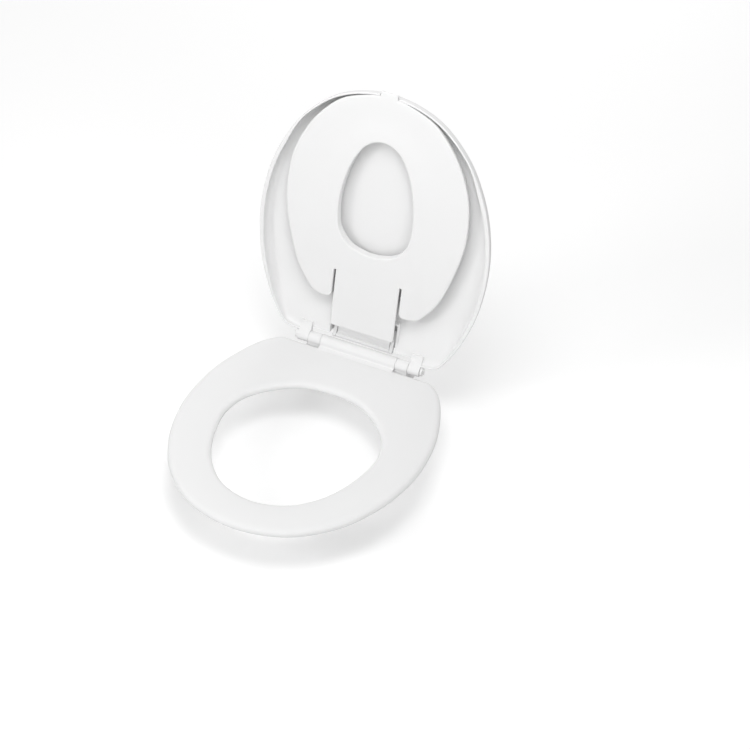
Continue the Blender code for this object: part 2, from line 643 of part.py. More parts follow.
# child ring
def child_ring():
    angles = even_angles(CHILD_AROUND)
    outer = radii(CHILD_SHARES, CHILD_HALF_WIDTH, CHILD_LENGTH, CHILD_CENTRE, angles)
    inner = radii(CHILD_HOLE_SHARES, CHILD_HOLE_HALF, CHILD_HOLE_LENGTH, CHILD_CENTRE, angles)
    height = CHILD_TOP - CHILD_FACE
    loops = []
    for inset, up in CHILD_EDGE_SHARES:
        loops.append(loop_points(outer - inset * CHILD_EDGE, angles, CHILD_CENTRE,
                                 CHILD_FACE + up * height))
    loops.append(loop_points((outer + inner) / 2, angles, CHILD_CENTRE, CHILD_TOP))
    for inset, up in reversed(CHILD_WALL_SHARES):
        loops.append(loop_points(inner + inset * CHILD_EDGE, angles, CHILD_CENTRE,
                                 CHILD_FACE + up * height))
    body = place("child_ring", loft("child_ring", loops, True), CHILD, CHILD_WHITE)
    # finger tab at the front, flat tongue at the back
    join(body, box_mesh("finger_tab", (-TAB_HALF, CHILD_LENGTH - CHILD_EDGE, CHILD_FACE + FIT_GAP / 3),
                        (TAB_HALF, TAB_END, TAB_TOP), (TAB_TOP - CHILD_FACE) / 4), CHILD)
    pocket = TONGUE_HALF + SLIT_WIDTH
    mouth = pocket + WING_CORNER
    wing_end = CHILD_SHARES[-1][1] * CHILD_LENGTH
    cut(body, plate_mesh("tongue_pocket", [(-mouth, 0.0)]
                         + corner(-mouth, wing_end + WING_CORNER, WING_CORNER, -80, 0)
                         + [(-pocket, SLIT_END), (pocket, SLIT_END)]
                         + corner(mouth, wing_end + WING_CORNER, WING_CORNER, 180, 260)
                         + [(mouth, 0.0)], -4 * CHILD_TOP, 4 * CHILD_TOP), CHILD)
    inset = TONGUE_HALF - TONGUE_CORNER
    tongue_top = SLIT_END + CHILD_EDGE
    join(body, plate_mesh("tongue", [(-TONGUE_HALF, tongue_top), (-TONGUE_HALF, wing_end)]
                          + corner(-inset, TONGUE_END + TONGUE_CORNER, TONGUE_CORNER, 180, 270)
                          + corner(inset, TONGUE_END + TONGUE_CORNER, TONGUE_CORNER, 270, 360)
                          + [(TONGUE_HALF, wing_end), (TONGUE_HALF, tongue_top)],
                          CHILD_FACE + FIT_GAP / 3, TONGUE_BACK, FIT_GAP * 3), CHILD)
    for side in (-1, 1):
        cut(body, tube_mesh(f"clip_bore_{side}", side * (TONGUE_HALF + SLIT_WIDTH / 2),
                            side * (TONGUE_HALF + SLIT_WIDTH + CLIP_GRIP + 2 * FIT_GAP),
                            CLIP_RADIUS + FIT_GAP / 2, CLIP_AHEAD, CLIP_UP, SMALL_ROUND), CHILD)
    return body


child = child_ring()

# hinge leaf behind the tongue: a flat plate, an arch that clears the seat's bar, a barrel
plate_low = TONGUE_BACK + FIT_GAP
plate_high = plate_low + LEAF_THICK
lowered_bar = (2 * PIVOT_AHEAD + FIT_GAP * 2, FIT_GAP * 2)
arch_in = BAR_RADIUS + BAR_CLEARANCE
arch_out = arch_in + LEAF_THICK
arch_turns = [math.radians(degrees) for degrees in ARCH_TURNS]


def arch(reach):
    """Points of the arch round the place that the bar has when the child ring is down."""
    return [(lowered_bar[0] + reach * math.cos(turn), lowered_bar[1] + reach * math.sin(turn))
            for turn in arch_turns]


leaf_outline = (
    [(PIVOT_AHEAD - BARREL_RADIUS * 0.2, PIVOT_UP + BARREL_RADIUS * 0.2)]
    + arch(arch_in) + [(lowered_bar[0] + arch_in * 1.35, plate_low), (LEAF_TOP_END, plate_low),
                (LEAF_TOP_END, plate_high), (lowered_bar[0] + arch_out * 1.32, plate_high)]
    + arch(arch_out)[::-1] + [(PIVOT_AHEAD + BARREL_RADIUS * 0.5, PIVOT_UP + BARREL_RADIUS * 0.8)]
)
leaf = place("child_hinge_leaf",
             prism_mesh("child_hinge_leaf", leaf_outline, -LEAF_NECK_HALF, LEAF_NECK_HALF),
             CHILD, HINGE_WHITE)
join(leaf, box_mesh("leaf_plate", (-LEAF_HALF, LEAF_NECK_END, plate_low),
                    (LEAF_HALF, LEAF_TOP_END - FIT_GAP, plate_high)), CHILD)
join(leaf, tube_mesh("leaf_barrel", -LEAF_NECK_HALF - FIT_GAP * 3, LEAF_NECK_HALF + FIT_GAP * 3,
                     BARREL_RADIUS, PIVOT_AHEAD, PIVOT_UP), CHILD)
cut(leaf, tube_mesh("leaf_bore", -BRACKET_HALF, BRACKET_HALF, PIVOT_RADIUS + FIT_GAP,
                    PIVOT_AHEAD, PIVOT_UP, SMALL_ROUND), CHILD)
for side in (-1, 1):
    ends = sorted((side * (LEAF_HALF - CLIP_BOSS_LENGTH), side * (LEAF_HALF - FIT_GAP)))
    join(leaf, tube_mesh(f"clip_boss_{side}", ends[0], ends[1], CLIP_BOSS, CLIP_AHEAD,
                         CLIP_UP, SMALL_ROUND), CHILD)
for side, hand in ((-1, "left"), (1, "right")):
    cut(leaf, tube_mesh(f"clip_hole_{side}", side * (LEAF_HALF - CLIP_HOLE_DEPTH), side * LEAF_HALF * 1.5,
                        CLIP_RADIUS + FIT_GAP / 2, CLIP_AHEAD, CLIP_UP, SMALL_ROUND), CHILD)
    mesh = tube_mesh(f"leaf_clip_pin_{hand}", side * (LEAF_HALF - CLIP_HOLE_DEPTH + FIT_GAP),
                     side * (TONGUE_HALF + SLIT_WIDTH + CLIP_GRIP),
                     CLIP_RADIUS, CLIP_AHEAD, CLIP_UP, SMALL_ROUND)
    place(f"leaf_clip_pin_{hand}", mesh, CHILD, STEEL)
place("child_pivot_pin", tube_mesh("child_pivot_pin", -EAR_OUTER - PIVOT_PROUD, EAR_OUTER + PIVOT_PROUD,
                                   PIVOT_RADIUS, PIVOT_AHEAD, PIVOT_UP, SMALL_ROUND), LID, STEEL)

# bracket on the lid's inside, with the ears that hold the pivot pin, and its screws
bracket_top = HUMP_CEILING - FIT_GAP
bracket_low = bracket_top - BRACKET_THICK
bracket = place("child_hinge_bracket",
                box_mesh("child_hinge_bracket", (-BRACKET_HALF, BRACKET_START, bracket_low),
                         (BRACKET_HALF, BRACKET_END, bracket_top)), LID, HINGE_WHITE)
ear_radius = BARREL_RADIUS + FIT_GAP
ear = []
for k in range(11):
    turn = math.radians(130 + 190 * k / 10)
    ear.append((PIVOT_AHEAD + ear_radius * math.cos(turn), PIVOT_UP + ear_radius * math.sin(turn)))
ear += [
    (BRACKET_END * 0.72, bracket_low + FIT_GAP),
    (BRACKET_START + FIT_GAP, bracket_low + FIT_GAP * 3),
    (BRACKET_START * 0.93, bracket_low),
]
for side in (-1, 1):
    ends = sorted((side * EAR_INNER, side * EAR_OUTER))
    join(bracket, prism_mesh(f"ear_{side}", ear, ends[0], ends[1]), LID)
cut(bracket, tube_mesh("ear_bore", -BRACKET_HALF, BRACKET_HALF, PIVOT_RADIUS + FIT_GAP,
                       PIVOT_AHEAD, PIVOT_UP, SMALL_ROUND), LID)
for side, hand in ((-1, "left"), (1, "right")):
    cut(bracket, post_mesh(f"bracket_hole_{side}", side * SCREW_ACROSS, SCREW_AHEAD,
                           bracket_low - LID_SHELL, bracket_top + LID_SHELL,
                           PIVOT_RADIUS, SMALL_ROUND), LID)
    shank = PIVOT_RADIUS - FIT_GAP
    head = PIVOT_RADIUS * 2
    under = bracket_low - FIT_GAP
    profile = [
        (0.0, HUMP_TOP - LID_SHELL * 0.35), (shank * 0.6, HUMP_TOP - LID_SHELL * 0.35),
        (shank, HUMP_TOP - LID_SHELL * 0.5), (shank, under), (head, under),
        (head, under - head * 0.3), (head * 0.7, under - head * 0.6), (0.0, under - head * 0.65),
    ]
    lathe(f"bracket_screw_{hand}", profile, side * SCREW_ACROSS, SCREW_AHEAD, LID, STEEL, SMALL_ROUND)

# magnet in the child ring, its cap, and the steel plate in the lid
pocket_floor = CHILD_TOP - MAGNET_THICK - CAP_THICK - 4 * FIT_GAP
cut(child, post_mesh("magnet_pocket", 0.0, MAGNET_AHEAD, pocket_floor, 3 * CHILD_TOP,
                     MAGNET_RADIUS + FIT_GAP), CHILD)
magnet_low = pocket_floor + FIT_GAP
place("child_ring_magnet", post_mesh("child_ring_magnet", 0.0, MAGNET_AHEAD, magnet_low,
                                     magnet_low + MAGNET_THICK, MAGNET_RADIUS), CHILD, MAGNET)
cap_low = magnet_low + MAGNET_THICK + FIT_GAP
place("magnet_cap", post_mesh("magnet_cap", 0.0, MAGNET_AHEAD, cap_low, cap_low + CAP_THICK,
                              MAGNET_RADIUS), CHILD, CHILD_WHITE)
catch_top = CATCH_LOW + CATCH_THICK - FIT_GAP
place("lid_catch_plate", post_mesh("lid_catch_plate", 0.0, MAGNET_AHEAD, CATCH_LOW, catch_top,
                                   MAGNET_RADIUS), LID, STEEL)


# hinge posts, pins, bolts
def hinge_side(side, hand):
    centre = side * BOLT_HALF_SPACING
    low = -AXIS_Z
    ends = sorted((centre - POST_HALF, centre + POST_HALF))
    stem = []
    for k in range(17):
        turn = math.radians(-30 + 240 * k / 16)
        stem.append((POST_HEAD * math.cos(turn), POST_HEAD * math.sin(turn)))
    stem += [(-POST_HEAD * 0.5, low + FOOT_THICK), (-POST_HEAD * 0.5, low + FOOT_THICK / 2),
             (POST_HEAD * 1.05, low + FOOT_THICK / 2), (POST_HEAD * 1.05, low + FOOT_THICK)]
    post = place(f"hinge_post_{hand}", prism_mesh(f"hinge_post_{hand}", stem, ends[0], ends[1]),
                 ROOT, HINGE_WHITE)
    join(post, box_mesh(f"foot_{hand}", (centre - FOOT_HALF, FOOT_BACK, low),
                        (centre + FOOT_HALF, FOOT_FRONT, low + FOOT_THICK), FOOT_THICK / 4), ROOT)
    cut(post, tube_mesh(f"post_bore_{hand}", ends[0] - POST_HALF, ends[1] + POST_HALF, PIN_BORE,
                        steps=SMALL_ROUND), ROOT)
    cut(post, post_mesh(f"foot_bore_{hand}", centre, -AXIS_AHEAD, 2 * low, 0.0,
                        BOLT_RADIUS + FIT_GAP, SMALL_ROUND), ROOT)

    # pin: shaft through lid knuckle and post into the bar, stepped head outside with a grip
    inner_end = side * (BAR_HALF - PIN_REACH)
    head_start = knuckle_outer + FIT_GAP
    pin = place(f"hinge_pin_{hand}",
                tube_mesh(f"hinge_pin_{hand}", inner_end, side * (head_start + PIN_HEAD_THICK / 2),
                          PIN_RADIUS, steps=SMALL_ROUND), ROOT, HINGE_WHITE)
    join(pin, tube_mesh(f"pin_head_{hand}", side * head_start, side * (head_start + PIN_HEAD_THICK),
                        PIN_HEAD, chamfer=PIN_HEAD_THICK / 6), ROOT)
    grip = sorted((side * (head_start + PIN_HEAD_THICK / 2),
                   side * (head_start + PIN_HEAD_THICK * 1.6)))
    join(pin, box_mesh(f"pin_grip_{hand}", (grip[0], -PIN_HEAD * 0.22, -PIN_HEAD * 0.72),
                       (grip[1], PIN_HEAD * 0.22, PIN_HEAD * 0.72), PIN_HEAD * 0.08), ROOT)

    # bolt from the foot down through the bowl, sleeve and wing nut below
    top = low + FOOT_THICK + FIT_GAP
    soft = BOLT_HEAD * 0.15
    tip = low - BOLT_LENGTH
    lathe(f"mounting_bolt_{hand}", [
        (0.0, top + BOLT_HEAD * 0.5), (BOLT_HEAD * 0.7, top + BOLT_HEAD * 0.45),
        (BOLT_HEAD, top + soft), (BOLT_HEAD, top), (BOLT_RADIUS, top),
        (BOLT_RADIUS, tip + soft), (BOLT_RADIUS - soft, tip), (0.0, tip),
    ], centre, -AXIS_AHEAD, ROOT, BOLT_WHITE, SMALL_ROUND)
    seat_top = low - RIM_THICKNESS
    sleeve = NUT_RADIUS * 0.45
    bore = BOLT_RADIUS + FIT_GAP
    bushing = lathe(f"bolt_bushing_{hand}", [
        (0.0, seat_top + sleeve), (bore + NUT_RADIUS * 0.15, seat_top + sleeve),
        (NUT_RADIUS * 1.05, seat_top - sleeve * 0.4), (NUT_RADIUS * 1.05, seat_top - sleeve),
        (0.0, seat_top - sleeve),
    ], centre, -AXIS_AHEAD, ROOT, BUMPER_GREY, SMALL_ROUND)
    cut(bushing, post_mesh(f"bushing_bore_{hand}", centre, -AXIS_AHEAD, seat_top - 2 * sleeve,
                           low, bore, SMALL_ROUND), ROOT)
    nut_top = seat_top - sleeve - FIT_GAP
    nut = place(f"mounting_nut_{hand}", post_mesh(f"mounting_nut_{hand}", centre, -AXIS_AHEAD,
                                                  nut_top - NUT_HEIGHT, nut_top,
                                                  NUT_RADIUS * 0.85),
                ROOT, BOLT_WHITE)
    join(nut, post_mesh(f"nut_flange_{hand}", centre, -AXIS_AHEAD, nut_top - NUT_HEIGHT * 0.2,
                        nut_top - FIT_GAP / 3, NUT_RADIUS), ROOT)
    join(nut, box_mesh(f"wings_{hand}", (centre - WING_SPAN, -AXIS_AHEAD - NUT_RADIUS * 0.17,
                                         nut_top - NUT_HEIGHT * 0.92),
                       (centre + WING_SPAN, -AXIS_AHEAD + NUT_RADIUS * 0.17, nut_top - NUT_HEIGHT * 0.3),
                       NUT_RADIUS * 0.1), ROOT)
    cut(nut, post_mesh(f"nut_bore_{hand}", centre, -AXIS_AHEAD, nut_top - 2 * NUT_HEIGHT,
                       nut_top + NUT_HEIGHT, bore, SMALL_ROUND), ROOT)


for side, hand in ((-1, "left"), (1, "right")):
    hinge_side(side, hand)
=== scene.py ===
# %% [markdown]
# # A family toilet seat with a child ring in its lid
#
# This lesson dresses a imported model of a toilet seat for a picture. The seat has three large
# shells: the adult's ring, the lid, and a smaller ring for a child that is stored in the lid.
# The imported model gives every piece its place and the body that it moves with. The pieces are
# built again here with many more points, so that long curves and soft edges look moulded.

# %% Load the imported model
import json
import math
from contextlib import contextmanager

import bmesh
import bpy
import numpy as np
from mathutils import Matrix, Vector

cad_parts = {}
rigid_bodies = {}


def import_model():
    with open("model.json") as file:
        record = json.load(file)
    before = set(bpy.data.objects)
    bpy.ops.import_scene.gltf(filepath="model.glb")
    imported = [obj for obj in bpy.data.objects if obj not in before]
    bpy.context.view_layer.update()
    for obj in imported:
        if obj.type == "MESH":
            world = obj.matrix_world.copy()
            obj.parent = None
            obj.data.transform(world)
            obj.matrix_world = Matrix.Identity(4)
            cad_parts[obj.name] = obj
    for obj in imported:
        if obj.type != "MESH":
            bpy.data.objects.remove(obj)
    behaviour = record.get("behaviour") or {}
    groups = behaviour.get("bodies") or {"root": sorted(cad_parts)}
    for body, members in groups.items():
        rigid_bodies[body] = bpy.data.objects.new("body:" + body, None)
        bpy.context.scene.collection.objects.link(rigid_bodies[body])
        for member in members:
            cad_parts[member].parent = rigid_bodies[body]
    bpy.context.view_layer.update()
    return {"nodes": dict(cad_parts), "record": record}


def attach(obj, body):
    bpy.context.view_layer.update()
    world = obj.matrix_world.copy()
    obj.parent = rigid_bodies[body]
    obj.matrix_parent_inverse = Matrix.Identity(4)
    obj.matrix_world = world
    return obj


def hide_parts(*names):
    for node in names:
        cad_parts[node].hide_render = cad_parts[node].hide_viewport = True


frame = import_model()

scene = bpy.context.scene
nodes = frame["nodes"]

# %% [markdown]
# ## Sizes
#
# All sizes are in metres, and each is named once, so that a change reaches every piece that
# uses it. The hinge line is the zero of the shells' own coordinates. There, "across" is along
# the hinge, "ahead" points to the front of the seat, and "up" is upwards while the lid is shut.
# The lid and the child ring are drawn with the lid shut and then turned open, because a lid is
# easiest to think of when it lies flat on its ring.

# %% Sizes
AXIS = Vector((0.0, -0.014, 0.022))
LID_OPEN = math.radians(94.5)
FIT_GAP = 0.0003

RING_LENGTH, RING_HALF_WIDTH = 0.424, 0.1806
HOLE_LENGTH, HOLE_HALF_WIDTH = 0.3668, 0.1161
RING_CENTRE = 0.215
RING_LOW, RING_CROWN = -0.014, -0.0035
RING_EDGE, RING_WALL, RING_REAR_WALL, RING_SKIN = 0.0085, 0.005, 0.013, 0.0042
BAR_RADIUS, BAR_HALF, BAR_FILLET = 0.0095, 0.060, 0.002
WEB_LOW, WEB_RELIEF = -0.0078, 0.0156
RIB_TURNS, RIB_HALF = (20, 50, 80, 110, 140), 0.0015
BUMPER_TURNS, BUMPER_RADIUS, BUMPER_PLUG, BOSS_RADIUS = (35, 125), 0.0095, 0.0035, 0.0075

LID_LENGTH, LID_HALF_WIDTH = 0.4204, 0.177
LID_RIM, LID_SHELL, LID_EDGE, LID_INSIDE_EDGE = -0.0015, 0.003, 0.016, 0.0144
LID_RIM_EXTRA, LID_RIM_TURNS, LID_RIM_SOFT = 0.0035, (40, 62, 125, 150), 0.0012
LID_SIDE_TOP, LID_CROWN, LID_REAR_TOP = 0.0185, 0.022, 0.0105
LID_REAR_EDGE, LID_SLOPE_END = 0.0138, 0.085
HUMP_HALF, HUMP_END, HUMP_LOW, HUMP_TOP = 0.055, 0.062, 0.0068, 0.0218
KNUCKLE_RADIUS, KNUCKLE_INNER, KNUCKLE_OUTER, KNUCKLE_ARM = 0.009, 0.080, 0.098, 0.022
CATCH_AHEAD, CATCH_BORE, CATCH_BOSS = 0.381, 0.0073, 0.00945
CATCH_LOW, CATCH_PLATE, CATCH_TOP, MAGNET_LOW = 0.0118, 0.0134, 0.017, 0.0056

CHILD_LENGTH, CHILD_HALF_WIDTH = 0.4165, 0.1385
CHILD_HOLE_LENGTH, CHILD_HOLE_HALF = 0.347, 0.057
CHILD_CENTRE, CHILD_FACE, CHILD_TOP, CHILD_EDGE = 0.250, -0.0025, 0.011, 0.010
CHILD_DISH, CHILD_SOFT = 0.0011, 0.002
TAB_HALF, TAB_END, TAB_TOP, TAB_ROOM, TAB_NOTCH = 0.013, 0.425, 0.0012, 0.0015, 0.012
TONGUE_HALF, TONGUE_END, TONGUE_BACK, TONGUE_CORNER = 0.050, 0.0335, 0.0015, 0.0045
SLIT_WIDTH, SLIT_END, SLIT_ROUND, WING_CORNER = 0.0032, 0.127, 0.0012, 0.008

PIVOT_AHEAD, PIVOT_UP, PIVOT_RADIUS, BARREL_RADIUS = 0.0106, 0.01045, 0.0016, 0.0032
LEAF_HALF, NECK_HALF, NECK_END, LEAF_TOP_END, LEAF_THICK = 0.047, 0.0415, 0.052, 0.118, 0.003
EAR_INNER, EAR_OUTER = 0.0428, 0.0478
BRACKET_START, BRACKET_END, BRACKET_HALF = 0.0150, 0.044, 0.049
BRACKET_LOW, BRACKET_TOP = 0.0163, 0.0185
SCREW_ACROSS, SCREW_AHEAD, SCREW_RADIUS, SCREW_TIP = 0.022, 0.034, 0.0016, 0.02105
CLIP_AHEAD, CLIP_UP, CLIP_BOSS, CLIP_BORE = 0.110, 0.0052, 0.0032, 0.00165
CLIP_IN_RING, CLIP_IN_LEAF, CLIP_BOSS_LENGTH = 0.0114, 0.0085, 0.010

POST_CENTRE, POST_HALF, POST_HEAD = 0.070, 0.0097, 0.0092
FOOT_HALF, FOOT_BACK, FOOT_FRONT = 0.0165, -0.028, 0.014
FOOT_LOW, FOOT_TOP = -0.022, -0.017
PIN_RADIUS, PIN_DEPTH, PIN_HEAD, PIN_HEAD_THICK = 0.0042, 0.016, 0.0066, 0.0038
PIN_BORE = PIN_RADIUS + FIT_GAP
BOLT_AHEAD, BOLT_RADIUS, BOLT_HEAD, BOLT_DOME, BOLT_TIP = -0.014, 0.0045, 0.0075, 0.00285, -0.078
BOLT_BORE = BOLT_RADIUS + FIT_GAP
THREAD_PITCH, THREAD_DEPTH, THREAD_TAPER = 0.0022, 0.0006, 0.0008
SLOT_HALF_LENGTH, SLOT_HALF_WIDTH = 0.0050, 0.0007
SLEEVE_MIDDLE, SLEEVE_RISE = -0.049, 0.004725
NUT_RADIUS, NUT_HEIGHT, NUT_TOP = 0.0105, 0.014, -0.054
WING_SPAN, WING_ROUND, WING_CUT = 0.021, 0.003, 0.0016
NUT_RIBS = 20

FAR = 0.03  # past every face that a cutter has to pass

# %% [markdown]
# ## Outlines
#
# Seen from above, the ring, the lid and both openings are egg shapes with a nearly straight
# back. They could be drawn as curve objects. Here each is a short list of shares of its half
# width and its length, from the front to the back, so that the shape keeps when a size changes.
# Edge sections are shares of the edge's width and of the shell's thickness.

# %% Outlines
RING_SHARES = (
    (0.0, 1.0), (0.388, 0.961), (0.687, 0.855), (0.87, 0.72), (0.969, 0.58), (1.0, 0.432),
    (0.957, 0.271), (0.826, 0.11), (0.69, 0.034), (0.598, 0.026), (0.443, 0.026), (0.0, 0.026),
)
HOLE_SHARES = (
    (0.0, 1.0), (0.403, 0.964), (0.693, 0.875), (0.866, 0.771), (0.961, 0.667), (1.0, 0.557),
    (0.912, 0.447), (0.686, 0.355), (0.376, 0.286), (0.0, 0.267),
)
LID_SHARES = (
    (0.0, 1.0), (0.392, 0.961), (0.686, 0.856), (0.869, 0.723), (0.969, 0.584), (1.0, 0.435),
    (0.957, 0.275), (0.848, 0.136), (0.723, 0.043), (0.655, 0.024), (0.576, 0.018),
    (0.452, 0.0172), (0.0, 0.0172),
)
CHILD_SHARES = (
    (0.0, 1.0), (0.202, 0.994), (0.523, 0.948), (0.787, 0.847), (0.953, 0.723), (1.0, 0.6),
    (0.967, 0.475), (0.816, 0.305), (0.635, 0.212), (0.534, 0.193), (0.433, 0.19), (0.0, 0.19),
)
CHILD_HOLE_SHARES = (
    (0.0, 1.0), (0.456, 0.967), (0.807, 0.859), (0.988, 0.715), (0.965, 0.591),
    (0.816, 0.533), (0.526, 0.491), (0.0, 0.473),
)
RING_EDGE_SHARES = (
    (0.12, 0.0), (0.0, 0.14), (0.0, 0.42), (0.14, 0.66), (0.45, 0.84), (0.9, 0.93),
)
CHILD_EDGE_SHARES = (
    (0.24, 0.0), (0.05, 0.05), (0.0, 0.15), (0.04, 0.38), (0.22, 0.64), (0.52, 0.83), (0.95, 0.95),
)
CHILD_WALL_SHARES = (
    (0.24, 0.0), (0.07, 0.04), (0.0, 0.14), (0.0, 0.5), (0.0, 0.86), (0.08, 0.95), (0.3, 0.985),
)
LID_EDGE_SHARES = (
    (0.0, 0.0), (0.01, 0.22), (0.06, 0.45), (0.17, 0.66), (0.36, 0.84), (0.64, 0.95), (1.0, 1.0),
)
LID_INSIDE_SHARES = (
    (0.0, 0.0), (0.01, 0.3), (0.055, 0.55), (0.18, 0.76), (0.38, 0.9), (0.66, 0.975), (1.0, 1.0),
)
print("outlines ready")

# %% [markdown]
# ## Frames
#
# Every piece either lies flat or sits in the open lid, so two matrices are enough. One carries
# points from the hinge's coordinates to the model's frame, and the other does the same for the
# open lid. Turned objects or parents would also work, but a finished piece has to sit at the
# origin, with its place in its mesh, so that patterns don't slide over it.

# %% Frames
FLAT = Matrix.Translation(AXIS)
OPEN = Matrix.Translation(AXIS) @ Matrix.Rotation(-LID_OPEN, 4, "X")


def collection(name):
    made = bpy.data.collections.new(name)
    scene.collection.children.link(made)
    return made


dressed = collection("toilet_seat")
workshop = collection("workshop")
print("lid turned open by", round(math.degrees(LID_OPEN), 1), "degrees")

# %% [markdown]
# ## Shader maths
#
# A finish is a small sum of noises and masks. Drawn as links between nodes it is long to write
# and hard to read. A socket in a wrapper can be added, multiplied, subtracted and mixed with
# plain operators, so that a finish reads as the sum it is. The materials come first, because
# the repeated pieces are given theirs while they are made.


# %% Shader sockets
def feed(tree, socket, value):
    """Links a field to a socket, or writes a plain value into it."""
    if isinstance(value, Field):
        tree.links.new(value.socket, socket)
    else:
        socket.default_value = value


def add_node(tree, kind, settings=(), sockets=()):
    """A node of one kind. Its settings come first, then a value or a link for each socket."""
    node = tree.nodes.new(kind)
    for name, value in dict(settings).items():
        setattr(node, name, value)
    for place, value in dict(sockets).items():
        feed(tree, node.inputs[place], value)
    return node


def field(tree, kind, output, settings=(), sockets=()):
    """One output of a new node, as a field."""
    return Field(tree, add_node(tree, kind, settings, sockets).outputs[output])


class Field:
    """An output socket that plain sums can be written with."""

    def __init__(self, tree, socket):
        self.tree = tree
        self.socket = socket

    def sum_of(self, operation, first, second):
        return field(self.tree, "ShaderNodeMath", 0, {"operation": operation},
                     {0: first, 1: second})

    def __add__(self, other):
        return self.sum_of("ADD", self, other)

    def __mul__(self, other):
        return self.sum_of("MULTIPLY", self, other)

    def __sub__(self, other):
        return self.sum_of("SUBTRACT", self, other)

    def __rsub__(self, other):
        return self.sum_of("SUBTRACT", other, self)

    __radd__ = __add__
    __rmul__ = __mul__

    def or_more(self, other):
        return self.sum_of("MAXIMUM", self, other)

    def between(self, low, high, to_low, to_high):
        """Eases from one value to another while this field goes from low to high."""
        return field(self.tree, "ShaderNodeMapRange", "Result",
                     {"interpolation_type": "SMOOTHSTEP"},
                     {"Value": self, "From Min": low, "From Max": high,
                      "To Min": to_low, "To Max": to_high})

    def mix(self, first, second):
        """First where this field is 0, second where it is 1; each a colour or a field."""
        pair = [value if isinstance(value, Field) else (*value, 1.0) for value in (first, second)]
        return field(self.tree, "ShaderNodeMix", 2, {"data_type": "RGBA"},
                     {0: self, 6: pair[0], 7: pair[1]})


# %% Materials in the making
class Look:
    """A material being made: its tree, its surface shader and its coordinates."""

    def __init__(self, name):
        self.material = bpy.data.materials.new(name)
        self.material.use_nodes = True
        self.tree = self.material.node_tree
        self.shader = self.tree.nodes["Principled BSDF"]
        self.spot = self.field("ShaderNodeTexCoord", "Object")

    def field(self, kind, output, settings=(), sockets=()):
        return field(self.tree, kind, output, settings, sockets)

    def stretched(self, scale):
        return self.field("ShaderNodeMapping", "Vector", (), {"Vector": self.spot, "Scale": scale})

    def noise(self, size, detail=3.0, rough=0.5, along=None):
        """Noise from 0 to 1 whose patches are about size metres."""
        return self.field("ShaderNodeTexNoise", "Fac", (),
                          {"Vector": along or self.spot, "Scale": 1.0 / size,
                           "Detail": detail, "Roughness": rough})

    def edges(self):
        """0 on flat faces, 1 along outward edges."""
        return self.field("ShaderNodeNewGeometry", "Pointiness").between(0.51, 0.58, 0.0, 1.0)

    def recesses(self, reach):
        """0 in the open, 1 in corners and gaps that are narrower than reach."""
        open_share = self.field("ShaderNodeAmbientOcclusion", "AO", {"samples": 6},
                                {"Distance": reach})
        return 1 - open_share.between(0.15, 0.85, 0.0, 1.0)

    def set(self, **values):
        for name, value in values.items():
            feed(self.tree, self.shader.inputs[name.replace("_", " ")], value)
        return self

    def relief(self, height, depth):
        """Small bumps: a height field whose full range is depth metres."""
        return self.set(Normal=self.field("ShaderNodeBump", "Normal", (),
                                          {"Strength": 1.0, "Distance": depth, "Height": height}))


print("shader helpers ready")

# %% [markdown]
# ## Moulded plastic
#
# The real seat is glossy white plastic from a mould. One flat white would look like paper, and
# an image would need unwrapping. Noise on Object coordinates is used, because it needs no
# unwrapping and stays on a piece that moves. The colour drifts a little over a hand's width,
# the gloss is broken by flow marks and wiping, and the skin has a faint ripple. The outward edges
# are rubbed smoother and painted a little lighter, a painted highlight, and the narrow gaps are
# painted darker towards a grey, a painted shade.


# %% Moulded plastic
# A grey that the narrow gaps are painted towards, as painted shade.
GAP_SHADE_COLOUR = (0.70, 0.70, 0.68)


def moulded(name, light, shade, gloss, ripple, depth, grain):
    look = Look(name)
    drift = look.noise(0.12, 1.5)
    flow = look.noise(0.02, 4.0, 0.55, look.stretched((1.0, 0.2, 1.0)))
    fine = look.noise(0.0008, 2.0, 0.6)
    wipes = look.noise(0.004, 3.0, 0.6, look.stretched((0.15, 1.0, 1.0)))
    # Mask for the painted highlight and the wear along the outward edges.
    edge_highlight_and_wear = look.edges()
    # Mask for the painted shade in corners and narrow gaps.
    gap_shade = look.recesses(0.006) * 0.45
    tone = (drift * 0.6 + flow * 0.4).mix(shade, light)
    # Painted highlight: the outward edges are painted a little lighter.
    tone = (edge_highlight_and_wear * 0.35).mix(tone, tuple(value * 1.02 for value in light))
    # Painted shade: the narrow gaps are painted darker towards a grey.
    tone = gap_shade.mix(tone, GAP_SHADE_COLOUR)
    rough = wipes.between(0.2, 0.8, gloss * 0.86, gloss * 1.16) + flow * 0.03 + fine * grain
    rough = rough + gap_shade * 0.15 + edge_highlight_and_wear * 0.04
    height = look.noise(ripple, 1.5) * 0.8 + fine * 0.2
    look.set(Base_Color=tone, Roughness=rough, IOR=1.50)
    return look.relief(height, depth).material


# Slot: name, light and shaded colour, roughness, ripple size, relief depth, grain.
PLASTICS = {
    "seat_plastic": ("seat_white", (0.876, 0.880, 0.879), (0.860, 0.866, 0.864),
                     0.17, 0.005, 0.00001, 0.0),
    "child_plastic": ("child_white", (0.884, 0.887, 0.886), (0.870, 0.874, 0.873),
                      0.19, 0.004, 0.00001, 0.0),
    "hinge_plastic": ("hinge_white", (0.872, 0.875, 0.876), (0.850, 0.854, 0.856),
                      0.25, 0.002, 0.00001, 0.05),
    "bolt_plastic": ("bolt_white", (0.815, 0.818, 0.812), (0.775, 0.780, 0.774),
                     0.36, 0.0015, 0.00002, 0.10),
    "bumper": ("bumper_soft", (0.765, 0.775, 0.775), (0.725, 0.735, 0.738),
               0.50, 0.001, 0.00002, 0.12),
}
FINISHES = {slot: moulded(*values) for slot, values in PLASTICS.items()}
print("plastics:", sorted(FINISHES))

# %% [markdown]
# ## Metal
#
# The small pins and screws are drawn steel, whose fine lines all run one way. Noise that is
# stretched along one axis gives such lines at any scale, where a picture would blur close up. A
# slow second noise stains the steel a little. The magnet is a dark block pressed from grains.


